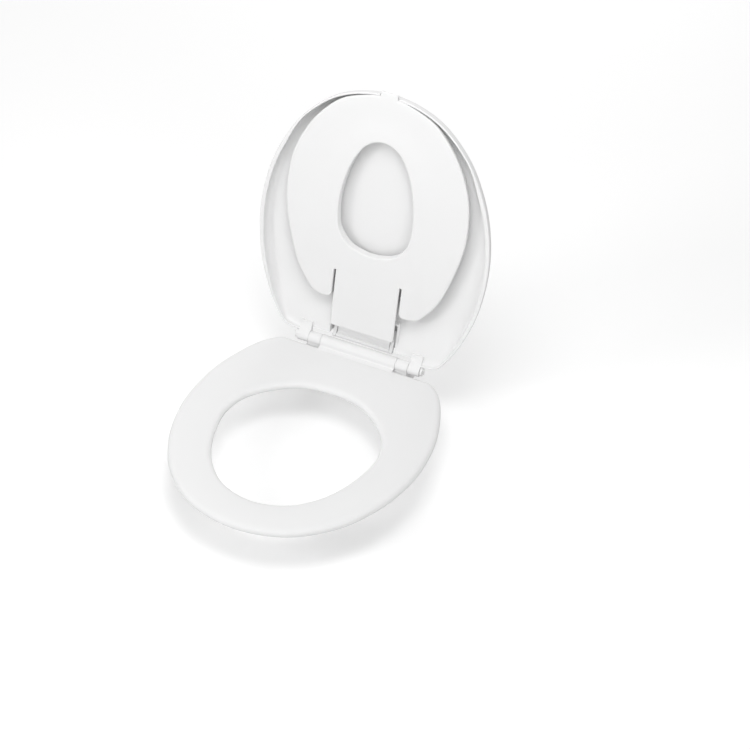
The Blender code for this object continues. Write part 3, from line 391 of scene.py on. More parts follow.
# %% Metal
def drawn_steel(name):
    look = Look(name)
    lines = look.noise(0.0004, 4.0, 0.7, look.stretched((0.05, 1.0, 1.0)))
    stain = look.noise(0.004, 3.0)
    look.set(Base_Color=stain.mix((0.55, 0.56, 0.58), (0.68, 0.69, 0.70)), Metallic=1.0,
             Roughness=lines.between(0.3, 0.7, 0.20, 0.36))
    return look.relief(lines, 0.00001).material


def sintered(name):
    look = Look(name)
    grain = look.noise(0.0006, 5.0, 0.7)
    look.set(Base_Color=grain.mix((0.07, 0.07, 0.075), (0.15, 0.15, 0.16)), Metallic=0.4,
             Roughness=grain.between(0.3, 0.7, 0.38, 0.62))
    return look.relief(grain, 0.00003).material


FINISHES["steel"] = drawn_steel("steel")
FINISHES["magnet"] = sintered("magnet_dark")
print("finishes:", sorted(FINISHES))

# %% [markdown]
# ## Smooth curves from a few chosen points
#
# A moulded outline has no corners, so the few chosen points need a smooth curve through them. A
# Bezier curve would need handles for each. A Catmull-Rom curve runs through the points by
# itself. The distance from a centre is then read off at even angles, because two outlines that
# are read at the same angles can be joined point by point, however different their shapes are.
# `loop` turns such distances back into points, and `rounded` gives the steps up a soft rim.


# %% Curves
def through(points, steps):
    """Catmull-Rom points through a padded list: the first and last points only steer."""
    spots = []
    for i in range(1, len(points) - 2):
        a, b, c, d = points[i - 1 : i + 3]
        for k in range(steps):
            t = k / steps
            spots.append(0.5 * (2 * b + (c - a) * t + (2 * a - 5 * b + 4 * c - d) * t**2
                                + (3 * b - a - 3 * c + d) * t**3))
    spots.append(points[-2])
    return np.array(spots)


def half_outline(shares, half_width, length, steps=24):
    given = np.array([(a * half_width, b * length) for a, b in shares])
    mirrored = given * (-1.0, 1.0)
    return through(np.vstack([mirrored[1], given, mirrored[-2]]), steps)


AROUND = 320
ANGLES = np.linspace(-math.pi, math.pi, AROUND, endpoint=False)


def reach_at(shares, half_width, length, centre=RING_CENTRE):
    """The distance of an outline from a centre, at every one of the even angles."""
    spots = half_outline(shares, half_width, length)
    turn = np.arctan2(np.maximum(spots[:, 0], 0.0), spots[:, 1] - centre)
    reach = np.hypot(spots[:, 0], spots[:, 1] - centre)
    order = np.argsort(turn)
    return np.interp(np.abs(ANGLES), turn[order], reach[order])


def section(shares, width, height, steps=5):
    """A smooth edge section from a few (inset share, height share) pairs."""
    given = np.array([(a * width, b * height) for a, b in shares])
    ends = np.vstack([2 * given[0] - given[1], given, 2 * given[-1] - given[-2]])
    return through(ends, steps)


def arc(across, ahead, radius, start, end, steps=14):
    """Points of an arc in a plane, from one angle in degrees to another."""
    turns = np.radians(np.linspace(start, end, steps))
    return [(across + radius * math.cos(turn), ahead + radius * math.sin(turn)) for turn in turns]


def rounded(soft, turns=(0, 18, 36, 54, 72, 90)):
    """(inset, rise) pairs up a round rim, for angles in degrees."""
    return [(soft * (1 - math.sin(turn)), soft * (1 - math.cos(turn)))
            for turn in np.radians(turns)]


def eased(share):
    return share * share * (3 - 2 * share)


def points_at(x, y, z):
    """Rows of points; any of the three may be one number for all."""
    return np.stack(np.broadcast_arrays(x, y, z), axis=1)


def loop(reach, up, centre=RING_CENTRE):
    return points_at(reach * np.sin(ANGLES), -(centre + reach * np.cos(ANGLES)), up)


print("outline points:", len(half_outline(RING_SHARES, RING_HALF_WIDTH, RING_LENGTH)))

# %% [markdown]
# ## Meshes from loops
#
# The large shells are skins of constant make-up: an edge, a face, an opening. They could be
# pushed out of a subdivided cage, but then a gap of a few tenths of a millimetre is hard to
# keep. `skin` joins loops whose place is known exactly. `plate` draws a flat outline upwards
# with rounded rims. `round_cutter` widens towards its lower end, so that the hole it cuts has a
# rounded edge.


# %% Meshes from loops
@contextmanager
def edited(mesh):
    """Opens a mesh for changes and writes them back."""
    work = bmesh.new()
    work.from_mesh(mesh)
    yield work
    work.to_mesh(mesh)
    work.free()


def outward(mesh):
    with edited(mesh) as work:
        bmesh.ops.recalc_face_normals(work, faces=work.faces)
        if work.calc_volume(signed=True) < 0:
            bmesh.ops.reverse_faces(work, faces=work.faces)
    return mesh


def mesh_of(name, points, faces):
    mesh = bpy.data.meshes.new(name)
    mesh.from_pydata([tuple(point) for point in points], [], faces)
    return mesh


def skin(name, loops, closed):
    """Joins loops one after another, and the last to the first or each end to a middle point."""
    count = len(loops[0])
    points = np.vstack(loops)
    faces = []
    for row in range(len(loops) if closed else len(loops) - 1):
        low, high = row * count, ((row + 1) % len(loops)) * count
        for i in range(count):
            j = (i + 1) % count
            faces.append((low + i, low + j, high + j, high + i))
    if not closed:
        for start, ring in ((0, loops[0]), ((len(loops) - 1) * count, loops[-1])):
            middle = len(points)
            points = np.vstack([points, ring.mean(axis=0)])
            faces += [(start + i, start + (i + 1) % count, middle) for i in range(count)]
    return outward(mesh_of(name, points, faces))


def grown(outline, amount):
    """The outline moved outwards by an amount, or inwards by a negative one."""
    spots = np.array(outline)
    forward = np.roll(spots, -1, axis=0) - spots
    normal = np.stack([forward[:, 1], -forward[:, 0]], axis=1)
    normal /= np.linalg.norm(normal, axis=1)[:, None]
    both = normal + np.roll(normal, 1, axis=0)
    both /= np.maximum((both * both).sum(axis=1) / 2, 0.5)[:, None]
    area = (spots[:, 0] * np.roll(spots[:, 1], -1) - np.roll(spots[:, 0], -1) * spots[:, 1]).sum()
    return spots + both * amount * (1 if area > 0 else -1)


def flat_loop(spots, height):
    return points_at(spots[:, 0], -spots[:, 1], height)


def plate(name, outline, low, high, soft):
    """A flat outline of (across, ahead) points between two heights, with round rims."""
    rim = rounded(soft)
    loops = [flat_loop(grown(outline, -inset), low + rise) for inset, rise in rim]
    loops += [flat_loop(grown(outline, -inset), high - rise) for inset, rise in rim[::-1]]
    return skin(name, loops, False)


def round_cutter(name, outline, low, face, high, soft):
    """Cuts an outline through a shell and rounds the edge that it leaves at the face."""
    loops = [flat_loop(grown(outline, soft), low)]
    loops += [flat_loop(grown(outline, inset), face + rise)
              for inset, rise in rounded(soft, range(0, 91, 15))]
    loops.append(flat_loop(np.array(outline), high))
    return skin(name, loops, False)


# %% [markdown]
# ## Solid tools
#
# The small forms are blocks, rods, upright posts, profiles drawn out along the hinge line, and
# turned shapes. Real plastic has no sharp rims, because they wouldn't leave the mould. A Bevel
# modifier at the end would also catch the seams of the joins, so each form gets its round rims
# before it is joined.


# %% Solid tools
def block(name, low, high, soft=0.0, steps=4):
    """A block between two corners, each given as (across, ahead, up)."""
    mesh = bpy.data.meshes.new(name)
    with edited(mesh) as work:
        bmesh.ops.create_cube(work, size=1.0)
        for point in work.verts:
            point.co = Vector((
                (low[0] + high[0]) / 2 + point.co.x * (high[0] - low[0]),
                point.co.y * (high[1] - low[1]) - (low[1] + high[1]) / 2,
                (low[2] + high[2]) / 2 + point.co.z * (high[2] - low[2]),
            ))
        if soft:
            bmesh.ops.bevel(work, geom=list(work.edges), offset=soft, segments=steps,
                            profile=0.5, affect="EDGES", clamp_overlap=True)
    return outward(mesh)


def turned(name, profile, steps=72):
    """A shape turned round Z from (radius, height) points, closed at both ends."""
    turns = np.linspace(0, 2 * math.pi, steps, endpoint=False)
    loops = [points_at(r * np.cos(turns), r * np.sin(turns), z) for r, z in profile]
    return skin(name, loops, False)


def soft_rod(name, radius, low, high, soft, steps):
    """A round bar along Z with rounded rims."""
    rim = rounded(soft)
    profile = [(radius - inset, low + rise) for inset, rise in rim]
    profile += [(radius - inset, high - rise) for inset, rise in rim[::-1]]
    return turned(name, profile, steps)


def rod(name, start, end, radius, ahead=0.0, up=0.0, soft=0.00005, steps=72):
    """A round bar along the hinge line."""
    mesh = soft_rod(name, radius, *sorted((start, end)), soft, steps)
    mesh.transform(Matrix.Translation((0.0, -ahead, up)) @ Matrix.Rotation(math.pi / 2, 4, "Y"))
    return mesh


def upright(name, across, ahead, low, high, radius, soft=0.00005, steps=64):
    mesh = soft_rod(name, radius, low, high, soft, steps)
    mesh.transform(Matrix.Translation((across, -ahead, 0.0)))
    return mesh


def extruded(name, outline, start, end, soft):
    """A closed (ahead, up) outline drawn out along the hinge line, with rounded rims."""
    low, high = sorted((start, end))
    rim = rounded(soft, (0, 22.5, 45, 67.5, 90))
    steps = [(low + rise, inset) for inset, rise in rim]
    steps += [(high - rise, inset) for inset, rise in rim[::-1]]
    loops = []
    for across, inset in steps:
        spots = grown(outline, -inset)
        loops.append(points_at(across, -spots[:, 0], spots[:, 1]))
    count = len(outline)
    faces = [(row * count + i, row * count + (i + 1) % count, (row + 1) * count + (i + 1) % count,
              (row + 1) * count + i) for row in range(len(loops) - 1) for i in range(count)]
    faces += [tuple(range(count)), tuple(range((len(loops) - 1) * count, len(loops) * count))]
    mesh = mesh_of(name, np.vstack(loops), faces)
    with edited(mesh) as work:
        ends = [face for face in work.faces if len(face.verts) > 4]
        bmesh.ops.triangulate(work, faces=ends, ngon_method="EAR_CLIP")
    return outward(mesh)


# %% [markdown]
# ## Joining, cutting and handing over
#
# Knuckles, bosses and bores grow out of one moulding. `combine` adds or cuts another mesh with
# a Boolean modifier, which needs closed meshes and keeps each step in its own line. `settle`
# makes the result a plain mesh with its points in the model's frame, takes out the slivers that
# cuts leave, and lets the large faces steer the shading, so that they look flat. `hand_over`
# gives the piece its finish, hides the imported parts that it stands for, and attaches it to the
# body that it moves with.


# %% Joining and handing over
SLIVER = 0.000002  # points that lie closer than this after a cut become one


def start_piece(mesh):
    """A shown piece, named after its mesh."""
    made = bpy.data.objects.new(mesh.name, mesh)
    dressed.objects.link(made)
    return made


def combine(body, mesh, how):
    tool = bpy.data.objects.new(mesh.name, mesh)
    workshop.objects.link(tool)
    step = body.modifiers.new(mesh.name, "BOOLEAN")
    step.operation = how
    step.solver = "MANIFOLD"
    step.object = tool


def join(body, *meshes):
    for mesh in meshes:
        combine(body, mesh, "UNION")


def cut(body, *meshes):
    for mesh in meshes:
        combine(body, mesh, "DIFFERENCE")


def weld(mesh):
    """Takes out the slivers that cuts leave where two edges nearly meet."""
    with edited(mesh) as work:
        bmesh.ops.remove_doubles(work, verts=work.verts, dist=SLIVER)
        bmesh.ops.dissolve_degenerate(work, edges=work.edges, dist=SLIVER)


def settle(body, place, sharp=32.0):
    graph = bpy.context.evaluated_depsgraph_get()
    mesh = bpy.data.meshes.new_from_object(body.evaluated_get(graph))
    body.modifiers.clear()
    body.data = mesh
    for tool in list(workshop.objects):
        bpy.data.objects.remove(tool, do_unlink=True)
    weld(mesh)
    mesh.transform(place)
    mesh.shade_smooth()
    mesh.set_sharp_from_angle(angle=math.radians(sharp))
    flat = body.modifiers.new("flat faces", "WEIGHTED_NORMAL")
    flat.mode = "FACE_AREA_WITH_ANGLE"
    flat.keep_sharp = True
    graph = bpy.context.evaluated_depsgraph_get()
    body.data = bpy.data.meshes.new_from_object(body.evaluated_get(graph))
    body.modifiers.clear()
    return body


def hand_over(piece, body, slot, *names):
    if not piece.data.materials:
        piece.data.materials.append(FINISHES[slot])
    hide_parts(*names)
    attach(piece, body)
    piece.data.calc_loop_triangles()
    print(piece.name, len(piece.data.loop_triangles), "triangles on", body)


# %% [markdown]
# ## Pieces that repeat
#
# Ribs, bumpers and grips come in rows. Copying objects in a loop would work, but one Geometry
# Nodes tree says it once: it puts a piece on every given point, and each point carries its own
# turn and stretch. The tree ends by making the copies real and giving them their material,
# because the export only takes real faces.


# %% Repeating tree
def repeat_tree():
    tree = bpy.data.node_groups.new("repeat_on_points", "GeometryNodeTree")
    for name, kind in (("Points", "NodeSocketGeometry"), ("Piece", "NodeSocketObject"),
                       ("Finish", "NodeSocketMaterial")):
        tree.interface.new_socket(name=name, in_out="INPUT", socket_type=kind)
    tree.interface.new_socket(name="Geometry", in_out="OUTPUT", socket_type="NodeSocketGeometry")
    given = add_node(tree, "NodeGroupInput")
    points, source, finish = (Field(tree, given.outputs[name])
                              for name in ("Points", "Piece", "Finish"))
    turn, stretch = (field(tree, "GeometryNodeInputNamedAttribute", "Attribute",
                           {"data_type": "FLOAT_VECTOR"}, {"Name": name})
                     for name in ("turn", "stretch"))
    piece = field(tree, "GeometryNodeObjectInfo", "Geometry", (), {"Object": source})
    copies = field(tree, "GeometryNodeInstanceOnPoints", "Instances", (),
                   {"Points": points, "Instance": piece, "Rotation": turn, "Scale": stretch})
    real = field(tree, "GeometryNodeRealizeInstances", "Geometry", (), {"Geometry": copies})
    finished = field(tree, "GeometryNodeSetMaterial", "Geometry", (),
                     {"Geometry": real, "Material": finish})
    add_node(tree, "NodeGroupOutput", (), {"Geometry": finished})
    return tree


REPEAT = repeat_tree()


def repeated(name, mesh, rows, slot, place, sharp=32.0):
    """A piece of many copies; rows holds (spot, turn, stretch) for each copy."""
    points = mesh_of(name, [row[0] for row in rows], [])
    for key, column in (("turn", 1), ("stretch", 2)):
        values = points.attributes.new(key, "FLOAT_VECTOR", "POINT")
        values.data.foreach_set("vector", [number for row in rows for number in row[column]])
    piece = start_piece(points)
    source = bpy.data.objects.new(name + "_source", mesh)
    workshop.objects.link(source)
    step = piece.modifiers.new("repeat", "NODES")
    step.node_group = REPEAT
    given = {"Piece": source, "Finish": FINISHES[slot]}
    for item in REPEAT.interface.items_tree:
        if item.name in given:
            step[item.identifier] = given[item.name]
    return settle(piece, place, sharp)


print("repeating tree:", len(REPEAT.nodes), "nodes")

# %% [markdown]
# ## The adult's ring
#
# On the real seat this is a shell that is open underneath, with a round bar on the hinge line.
# A ring swept along a path would have one section all round, but this one is broad and soft in
# front and has a thick wall at the back. So it is one closed skin of loops: up the outer edge,
# over the soft crown, down into the opening, and back through the channel underneath. The bar
# is joined on with a small fillet. Under it the ring is cut back, so that the lid's rear edge
# can pass.

# %% Adult ring
ring_outer = reach_at(RING_SHARES, RING_HALF_WIDTH, RING_LENGTH)
ring_inner = reach_at(HOLE_SHARES, HOLE_HALF_WIDTH, HOLE_LENGTH)
ring_middle = (ring_outer + ring_inner) / 2
ring_roof = RING_CROWN - RING_SKIN


def ring_loops():
    edge = section(RING_EDGE_SHARES, RING_EDGE, RING_CROWN - RING_LOW)
    last_in, last_up = edge[-1]
    rise = RING_CROWN - RING_LOW - last_up
    shares = (0.12, 0.25, 0.4, 0.55, 0.7, 0.85)

    def crown(start, share):
        up = RING_LOW + last_up + rise * (1 - (1 - share) ** 2)
        return loop(start * (1 - share) + ring_middle * share, up)

    wall = RING_WALL + (RING_REAR_WALL - RING_WALL) * np.clip(-np.cos(ANGLES), 0, 1) ** 4
    start, end = ring_inner + RING_WALL, ring_outer - wall
    channel = rounded(RING_WALL / 2, (0, 22, 45, 68, 90))
    return [
        *(loop(ring_outer - inset, RING_LOW + up) for inset, up in edge),
        *(crown(ring_outer - last_in, share) for share in shares),
        loop(ring_middle, RING_CROWN),
        *(crown(ring_inner + last_in, share) for share in shares[::-1]),
        *(loop(ring_inner + inset, RING_LOW + up) for inset, up in edge[::-1]),
        loop(start, RING_LOW),
        *(loop(start + inset, ring_roof - drop) for drop, inset in channel),
        *(loop(end - inset, ring_roof - drop) for drop, inset in channel[::-1]),
        loop(end, RING_LOW),
    ]


adult_ring = start_piece(skin("adult_ring", ring_loops(), True))
print("adult ring:", len(adult_ring.data.vertices), "points")


# %% Adult ring's joins
def bar_web():
    """The outline that joins the bar to the ring, with its round fillet in front."""
    rear = RING_SHARES[-1][1] * RING_LENGTH
    centre_up = RING_CROWN + BAR_FILLET
    centre_ahead = math.sqrt((BAR_RADIUS + BAR_FILLET) ** 2 - centre_up**2)
    touch = math.degrees(math.atan2(-centre_up, -centre_ahead)) % 360 - 360
    return [
        (0.0, WEB_LOW + RING_SKIN / 4), (WEB_RELIEF + RING_SKIN, WEB_LOW),
        (rear + RING_REAR_WALL * 0.8, RING_CROWN - RING_SKIN / 3),
        (centre_ahead + RING_SKIN / 2, RING_CROWN - RING_SKIN / 24),
        *arc(centre_ahead, centre_up, BAR_FILLET, -90, touch, 10),
        (BAR_RADIUS * 0.7, 0.0), (0.0, 0.0),
    ]


def to_both_sides(turns):
    """Angles left and right of the front, for turns in degrees."""
    return [math.radians(turn) * side for turn in turns for side in (-1, 1)]


def reach_of(outline, angle):
    return float(np.interp(angle, ANGLES, outline))


def ring_spot(reach, angle):
    return reach * math.sin(angle), RING_CENTRE + reach * math.cos(angle)


bumper_spots = [ring_spot(reach_of(ring_middle, angle), angle)
                for angle in to_both_sides(BUMPER_TURNS)]
join(adult_ring, rod("bar", -BAR_HALF, BAR_HALF, BAR_RADIUS, soft=0.0006, steps=128))
join(adult_ring, extruded("web", bar_web(), -BAR_HALF + 0.0004, BAR_HALF - 0.0004, soft=0.0003))
cut(adult_ring, block("relief", (-BAR_HALF - 2 * FIT_GAP, BAR_RADIUS * 0.3, 2 * RING_LOW),
                      (BAR_HALF + 2 * FIT_GAP, WEB_RELIEF, WEB_LOW)))
for side in (-1, 1):
    cut(adult_ring, rod(f"bore_{side}", side * (BAR_HALF - PIN_DEPTH - FIT_GAP),
                        side * (BAR_HALF + PIN_DEPTH), PIN_BORE))
for number, (across, ahead) in enumerate(bumper_spots):
    join(adult_ring, upright(f"boss_{number}", across, ahead, RING_LOW, ring_roof + RING_SKIN / 2,
                             BOSS_RADIUS, soft=0.0006))
    cut(adult_ring, upright(f"socket_{number}", across, ahead, 2 * RING_LOW,
                            ring_roof - RING_SKIN / 4, BUMPER_PLUG + FIT_GAP))
settle(adult_ring, FLAT)
hand_over(adult_ring, "seat", "seat_plastic", "seat_ring")

# %% [markdown]
# ## Ribs and bumpers under the ring
#
# Thin ribs stiffen the channel, and four soft feet, the bumpers, carry the ring. The ribs taper
# towards their free edge, as a moulded rib does, so that they leave the mould. Both kinds
# repeat with small changes, which the repeating tree does well. Each bumper is turned round its
# axis, and its plug sits in a boss of the ring.


# %% Ribs
def rib_mesh():
    """A rib of unit length along Y whose free lower edge is narrower."""
    top, low = ring_roof + RING_SKIN / 2, RING_LOW + RING_WALL / 3
    rows = [(RIB_HALF, top), (RIB_HALF * 0.92, (top + low) / 2), (RIB_HALF * 0.82, low + 0.0004),
            (RIB_HALF * 0.5, low)]
    profile = rows + [(-x, z) for x, z in rows[::-1]]
    points = [(x, y, z) for y in (-0.5, 0.5) for x, z in profile]
    count = len(profile)
    faces = [(i, (i + 1) % count, count + (i + 1) % count, count + i) for i in range(count)]
    faces += [tuple(range(count)), tuple(range(count, 2 * count))]
    return outward(mesh_of("rib", points, faces))


rib_rows = []
for angle in to_both_sides(RIB_TURNS):
    far = reach_of(ring_outer, angle) - RING_WALL / 2
    near = reach_of(ring_inner, angle) + RING_WALL / 2
    across, ahead = ring_spot((far + near) / 2, angle)
    rib_rows.append(((across, -ahead, 0.0), (0.0, 0.0, angle), (1.0, far - near, 1.0)))
ring_ribs = repeated("ring_ribs", rib_mesh(), rib_rows, "seat_plastic", FLAT)
hand_over(ring_ribs, "seat", "seat_plastic", "seat_ring")


# %% Bumpers
def bumper_mesh():
    foot, step, top = FOOT_LOW, RING_LOW - FIT_GAP, ring_roof - RING_SKIN / 2
    rim, rim_round, low, foot_round = BUMPER_RADIUS - 0.0010, 0.0010, BUMPER_RADIUS * 0.9, 0.0013
    profile = [
        (BUMPER_PLUG - 0.0005, top), (BUMPER_PLUG, top - 0.0006), (BUMPER_PLUG, step + 0.0002),
        (BUMPER_PLUG + 0.0002, step), (rim, step),
        *arc(rim, step - rim_round, rim_round, 60, 0, 3),
        *arc(low - foot_round, foot + foot_round, foot_round, 0, -90, 4),
        (low * 0.55, foot), (low * 0.45, foot + 0.0007), (0.0008, foot + 0.0008),
    ]
    return turned("bumper", profile, 64)


bumper_rows = [((across, -ahead, 0.0), (0.0, 0.0, 0.0), (1.0, 1.0, 1.0))
               for across, ahead in bumper_spots]
bumpers = repeated("seat_bumpers", bumper_mesh(), bumper_rows, "bumper", FLAT, 40.0)
hand_over(bumpers, "seat", "bumper", "seat_bumper_front_left", "seat_bumper_front_right",
          "seat_bumper_rear_left", "seat_bumper_rear_right")

# %% [markdown]
# ## The lid
#
# The lid is a shallow dish that holds the child ring. A Solidify modifier could give it a wall,
# but its rim isn't even: it is a flat band with soft corners that grows wider beside the child
# ring. So the outside skin and the inside skin are drawn in one go, from the middle of the
# back, round the rim, to the middle of the inside. The housing for the child ring's hinge is
# joined on and hollowed. The two knuckles carry the lid on the hinge line.


# %% Lid
def lid_height(reach, full):
    """The height of a skin at a reach: full in front, and lower where the lid slopes back."""
    ahead = RING_CENTRE + reach * np.cos(ANGLES)
    rear = LID_REAR_EDGE * 0.8
    share = eased(np.clip((ahead - rear) / (LID_SLOPE_END - rear), 0.0, 1.0))
    low = full - (LID_SIDE_TOP - LID_REAR_TOP)
    return low + (full - low) * share


def lid_loops():
    edge = reach_at(LID_SHARES, LID_HALF_WIDTH, LID_LENGTH)
    beside = np.interp(np.degrees(np.abs(ANGLES)), LID_RIM_TURNS, (0.0, 1.0, 1.0, 0.0))
    wider = LID_RIM_EXTRA * eased(beside)
    low = LID_RIM + LID_RIM_SOFT
    outside, inside = [], []
    for inset, up in section(LID_EDGE_SHARES, 1.0, 1.0):
        reach = edge - inset * LID_EDGE
        outside.append(loop(reach, low + up * (lid_height(reach, LID_SIDE_TOP) - low)))
    for inset, up in section(LID_INSIDE_SHARES, 1.0, 1.0):
        reach = edge - LID_SHELL - wider * (1 - inset) - inset * LID_INSIDE_EDGE
        inside.append(loop(reach, low + up * (lid_height(reach, LID_SIDE_TOP - LID_SHELL) - low)))
    for share in (0.95, 0.9, 0.84, 0.76, 0.68, 0.58, 0.48, 0.38, 0.28, 0.18, 0.09):
        reach = (edge - LID_EDGE) * share
        up = LID_SIDE_TOP + (LID_CROWN - LID_SIDE_TOP) * (1 - share**2)
        outside.append(loop(reach, lid_height(reach, up)))
        inside.append(loop(reach, lid_height(reach, up - LID_SHELL)))
    corner = rounded(LID_RIM_SOFT, (18, 36, 54, 72, 90))
    rim = [loop(edge - inset, LID_RIM + up) for up, inset in corner]
    rim += [loop(edge - LID_SHELL - wider + inset, LID_RIM + up) for up, inset in corner[::-1]]
    return outside[::-1] + rim + inside


lid = start_piece(skin("lid", lid_loops(), False))
print("lid:", len(lid.data.vertices), "points")


# %% Lid's joins
def knuckle_outline():
    """A round knuckle whose arm runs forward into the lid, in shares of its radius."""
    arm = KNUCKLE_ARM / KNUCKLE_RADIUS
    under = ((0.93, -0.42), (1.08, -0.12), (1.25, 0.10), (1.5, 0.26), (1.9, 0.38), (arm, 0.45))
    over = ((arm, 1.0), (1.6, 1.01), (0.9, 1.02))
    return (arc(0.0, 0.0, KNUCKLE_RADIUS, 100, 312, 44)
            + [(a * KNUCKLE_RADIUS, b * KNUCKLE_RADIUS) for a, b in under + over])


join(lid, block("hump", (-HUMP_HALF, LID_REAR_EDGE * 0.72, HUMP_LOW),
                (HUMP_HALF, HUMP_END, HUMP_TOP), soft=0.0030, steps=6))
cut(lid, block("hinge_gap",
               (-KNUCKLE_INNER - 2 * FIT_GAP, -2 * KNUCKLE_RADIUS, -3 * KNUCKLE_RADIUS),
               (KNUCKLE_INNER + 2 * FIT_GAP, LID_REAR_EDGE, 4 * KNUCKLE_RADIUS)))
cut(lid, block("hollow", (LID_SHELL - HUMP_HALF, -KNUCKLE_RADIUS, -2 * KNUCKLE_RADIUS),
               (HUMP_HALF - LID_SHELL, HUMP_END - LID_SHELL, HUMP_TOP - LID_SHELL), soft=0.0012))
for side in (-1, 1):
    join(lid, extruded(f"knuckle_{side}", knuckle_outline(), side * KNUCKLE_INNER,
                       side * KNUCKLE_OUTER, soft=0.0008))
join(lid, upright("catch_boss", 0.0, CATCH_AHEAD, CATCH_LOW, CATCH_TOP, CATCH_BOSS, soft=0.0008))
cut(lid, upright("catch_pocket", 0.0, CATCH_AHEAD, CATCH_LOW - 0.0008, CATCH_PLATE, CATCH_BORE))
cut(lid, block("tab_notch", (-TAB_HALF - TAB_ROOM, LID_LENGTH - TAB_NOTCH, -TAB_NOTCH),
               (TAB_HALF + TAB_ROOM, LID_LENGTH + TAB_NOTCH, TAB_TOP + 0.0004), soft=0.0008))
for side in (-1, 1):
    cut(lid, rod(f"bore_{side}", side * (KNUCKLE_INNER - KNUCKLE_RADIUS),
                 side * (KNUCKLE_OUTER + KNUCKLE_RADIUS), PIN_BORE))
    cut(lid, upright(f"screw_{side}", side * SCREW_ACROSS, SCREW_AHEAD, BRACKET_LOW - 0.0005,
                     SCREW_TIP, SCREW_RADIUS))
settle(lid, OPEN)
hand_over(lid, "lid", "seat_plastic", "lid_cover")

# %% [markdown]
# ## The child ring
#
# The child ring has a broad face that dips a little between its edge and its opening, and a
# straight wall inside the opening. At the back a flat tongue hangs between two slits, and at
# the front a tab reaches over the lid's rim for a finger. The ring is a skin of loops, like the
# others. The tongue isn't ring-shaped, so its pocket is cut out first and a plate is joined in.


# %% Child ring
def child_loops():
    outer = reach_at(CHILD_SHARES, CHILD_HALF_WIDTH, CHILD_LENGTH, CHILD_CENTRE)
    inner = reach_at(CHILD_HOLE_SHARES, CHILD_HOLE_HALF, CHILD_HOLE_LENGTH, CHILD_CENTRE)
    height = CHILD_TOP - CHILD_FACE
    edge = section(CHILD_EDGE_SHARES, CHILD_EDGE, height)
    wall = section(CHILD_WALL_SHARES, CHILD_EDGE, height)
    start, end = inner + wall[0][0], outer - edge[0][0]
    dish = CHILD_DISH * np.clip((np.cos(ANGLES) + 0.80) / 0.6, 0.0, 1.0) ** 2
    rows = [(start * (1 - share) + end * share, dish * math.sin(math.pi * share) ** 2)
            for share in np.linspace(0.03, 0.97, 26)]
    rows += [(outer - inset, up) for inset, up in edge]
    rows.append(((outer + inner) / 2, height))
    rows += [(inner + inset, up) for inset, up in wall[::-1]]
    return [loop(reach, CHILD_FACE + up, CHILD_CENTRE) for reach, up in rows]


child_ring = start_piece(skin("child_ring_shell", child_loops(), True))
print("child ring:", len(child_ring.data.vertices), "points")


# %% Child ring's tongue, slits and tab
def pocket_outline():
    pocket, wing_end = TONGUE_HALF + SLIT_WIDTH, CHILD_SHARES[-1][1] * CHILD_LENGTH
    mouth, centre = pocket + WING_CORNER, wing_end + WING_CORNER
    return [
        (-mouth - 0.001, 0.001), *arc(-mouth, centre, WING_CORNER, -80, 0),
        *arc(SLIT_ROUND - pocket, SLIT_END - SLIT_ROUND, SLIT_ROUND, 180, 90, 5),
        *arc(pocket - SLIT_ROUND, SLIT_END - SLIT_ROUND, SLIT_ROUND, 90, 0, 5),
        *arc(mouth, centre, WING_CORNER, 180, 260), (mouth + 0.001, 0.001),
    ]


def tongue_outline():
    inset, top, low = TONGUE_HALF - TONGUE_CORNER, SLIT_END + CHILD_EDGE, TONGUE_END + TONGUE_CORNER
    return [
        (-TONGUE_HALF, top), *arc(-inset, low, TONGUE_CORNER, 180, 270),
        *arc(inset, low, TONGUE_CORNER, 270, 360), (TONGUE_HALF, top),
    ]


JOIN_STEP = 0.000004  # two faces in exactly one plane would leave the join undecided
join(child_ring, block("tab", (-TAB_HALF, CHILD_LENGTH - CHILD_EDGE, CHILD_FACE + 0.0001),
                       (TAB_HALF, TAB_END, TAB_TOP), soft=0.0014, steps=6))
cut(child_ring, round_cutter("pocket", pocket_outline(), -FAR, CHILD_FACE, FAR, CHILD_SOFT))
join(child_ring, plate("tongue", tongue_outline(), CHILD_FACE + JOIN_STEP, TONGUE_BACK,
                       CHILD_SOFT * 0.85))
for side in (-1, 1):
    cut(child_ring, rod(f"clip_{side}", side * (TONGUE_HALF + SLIT_WIDTH / 2),
                        side * (TONGUE_HALF + SLIT_WIDTH + CLIP_IN_RING),
                        CLIP_BORE, CLIP_AHEAD, CLIP_UP))
cut(child_ring, upright("magnet_pocket", 0.0, CATCH_AHEAD, MAGNET_LOW, FAR, CATCH_BORE))
settle(child_ring, OPEN)
hand_over(child_ring, "child_seat", "child_plastic", "child_ring")

# %% [markdown]
# ## The child ring's hinge
#
# A hidden hinge lets the ring swing out of the lid. The leaf is a flat plate behind the tongue.
# It rises into an arch that clears the adult ring's bar when the child ring is down, and ends
# in a barrel round the pivot pin. The bracket is screwed to the lid and holds the pin in two
# ears. Both keep one outline along the hinge line, so they are drawn as profiles and pulled out
# sideways.


# %% Leaf and bracket
LEAF_LOW = TONGUE_BACK + FIT_GAP
LEAF_HIGH = LEAF_LOW + LEAF_THICK


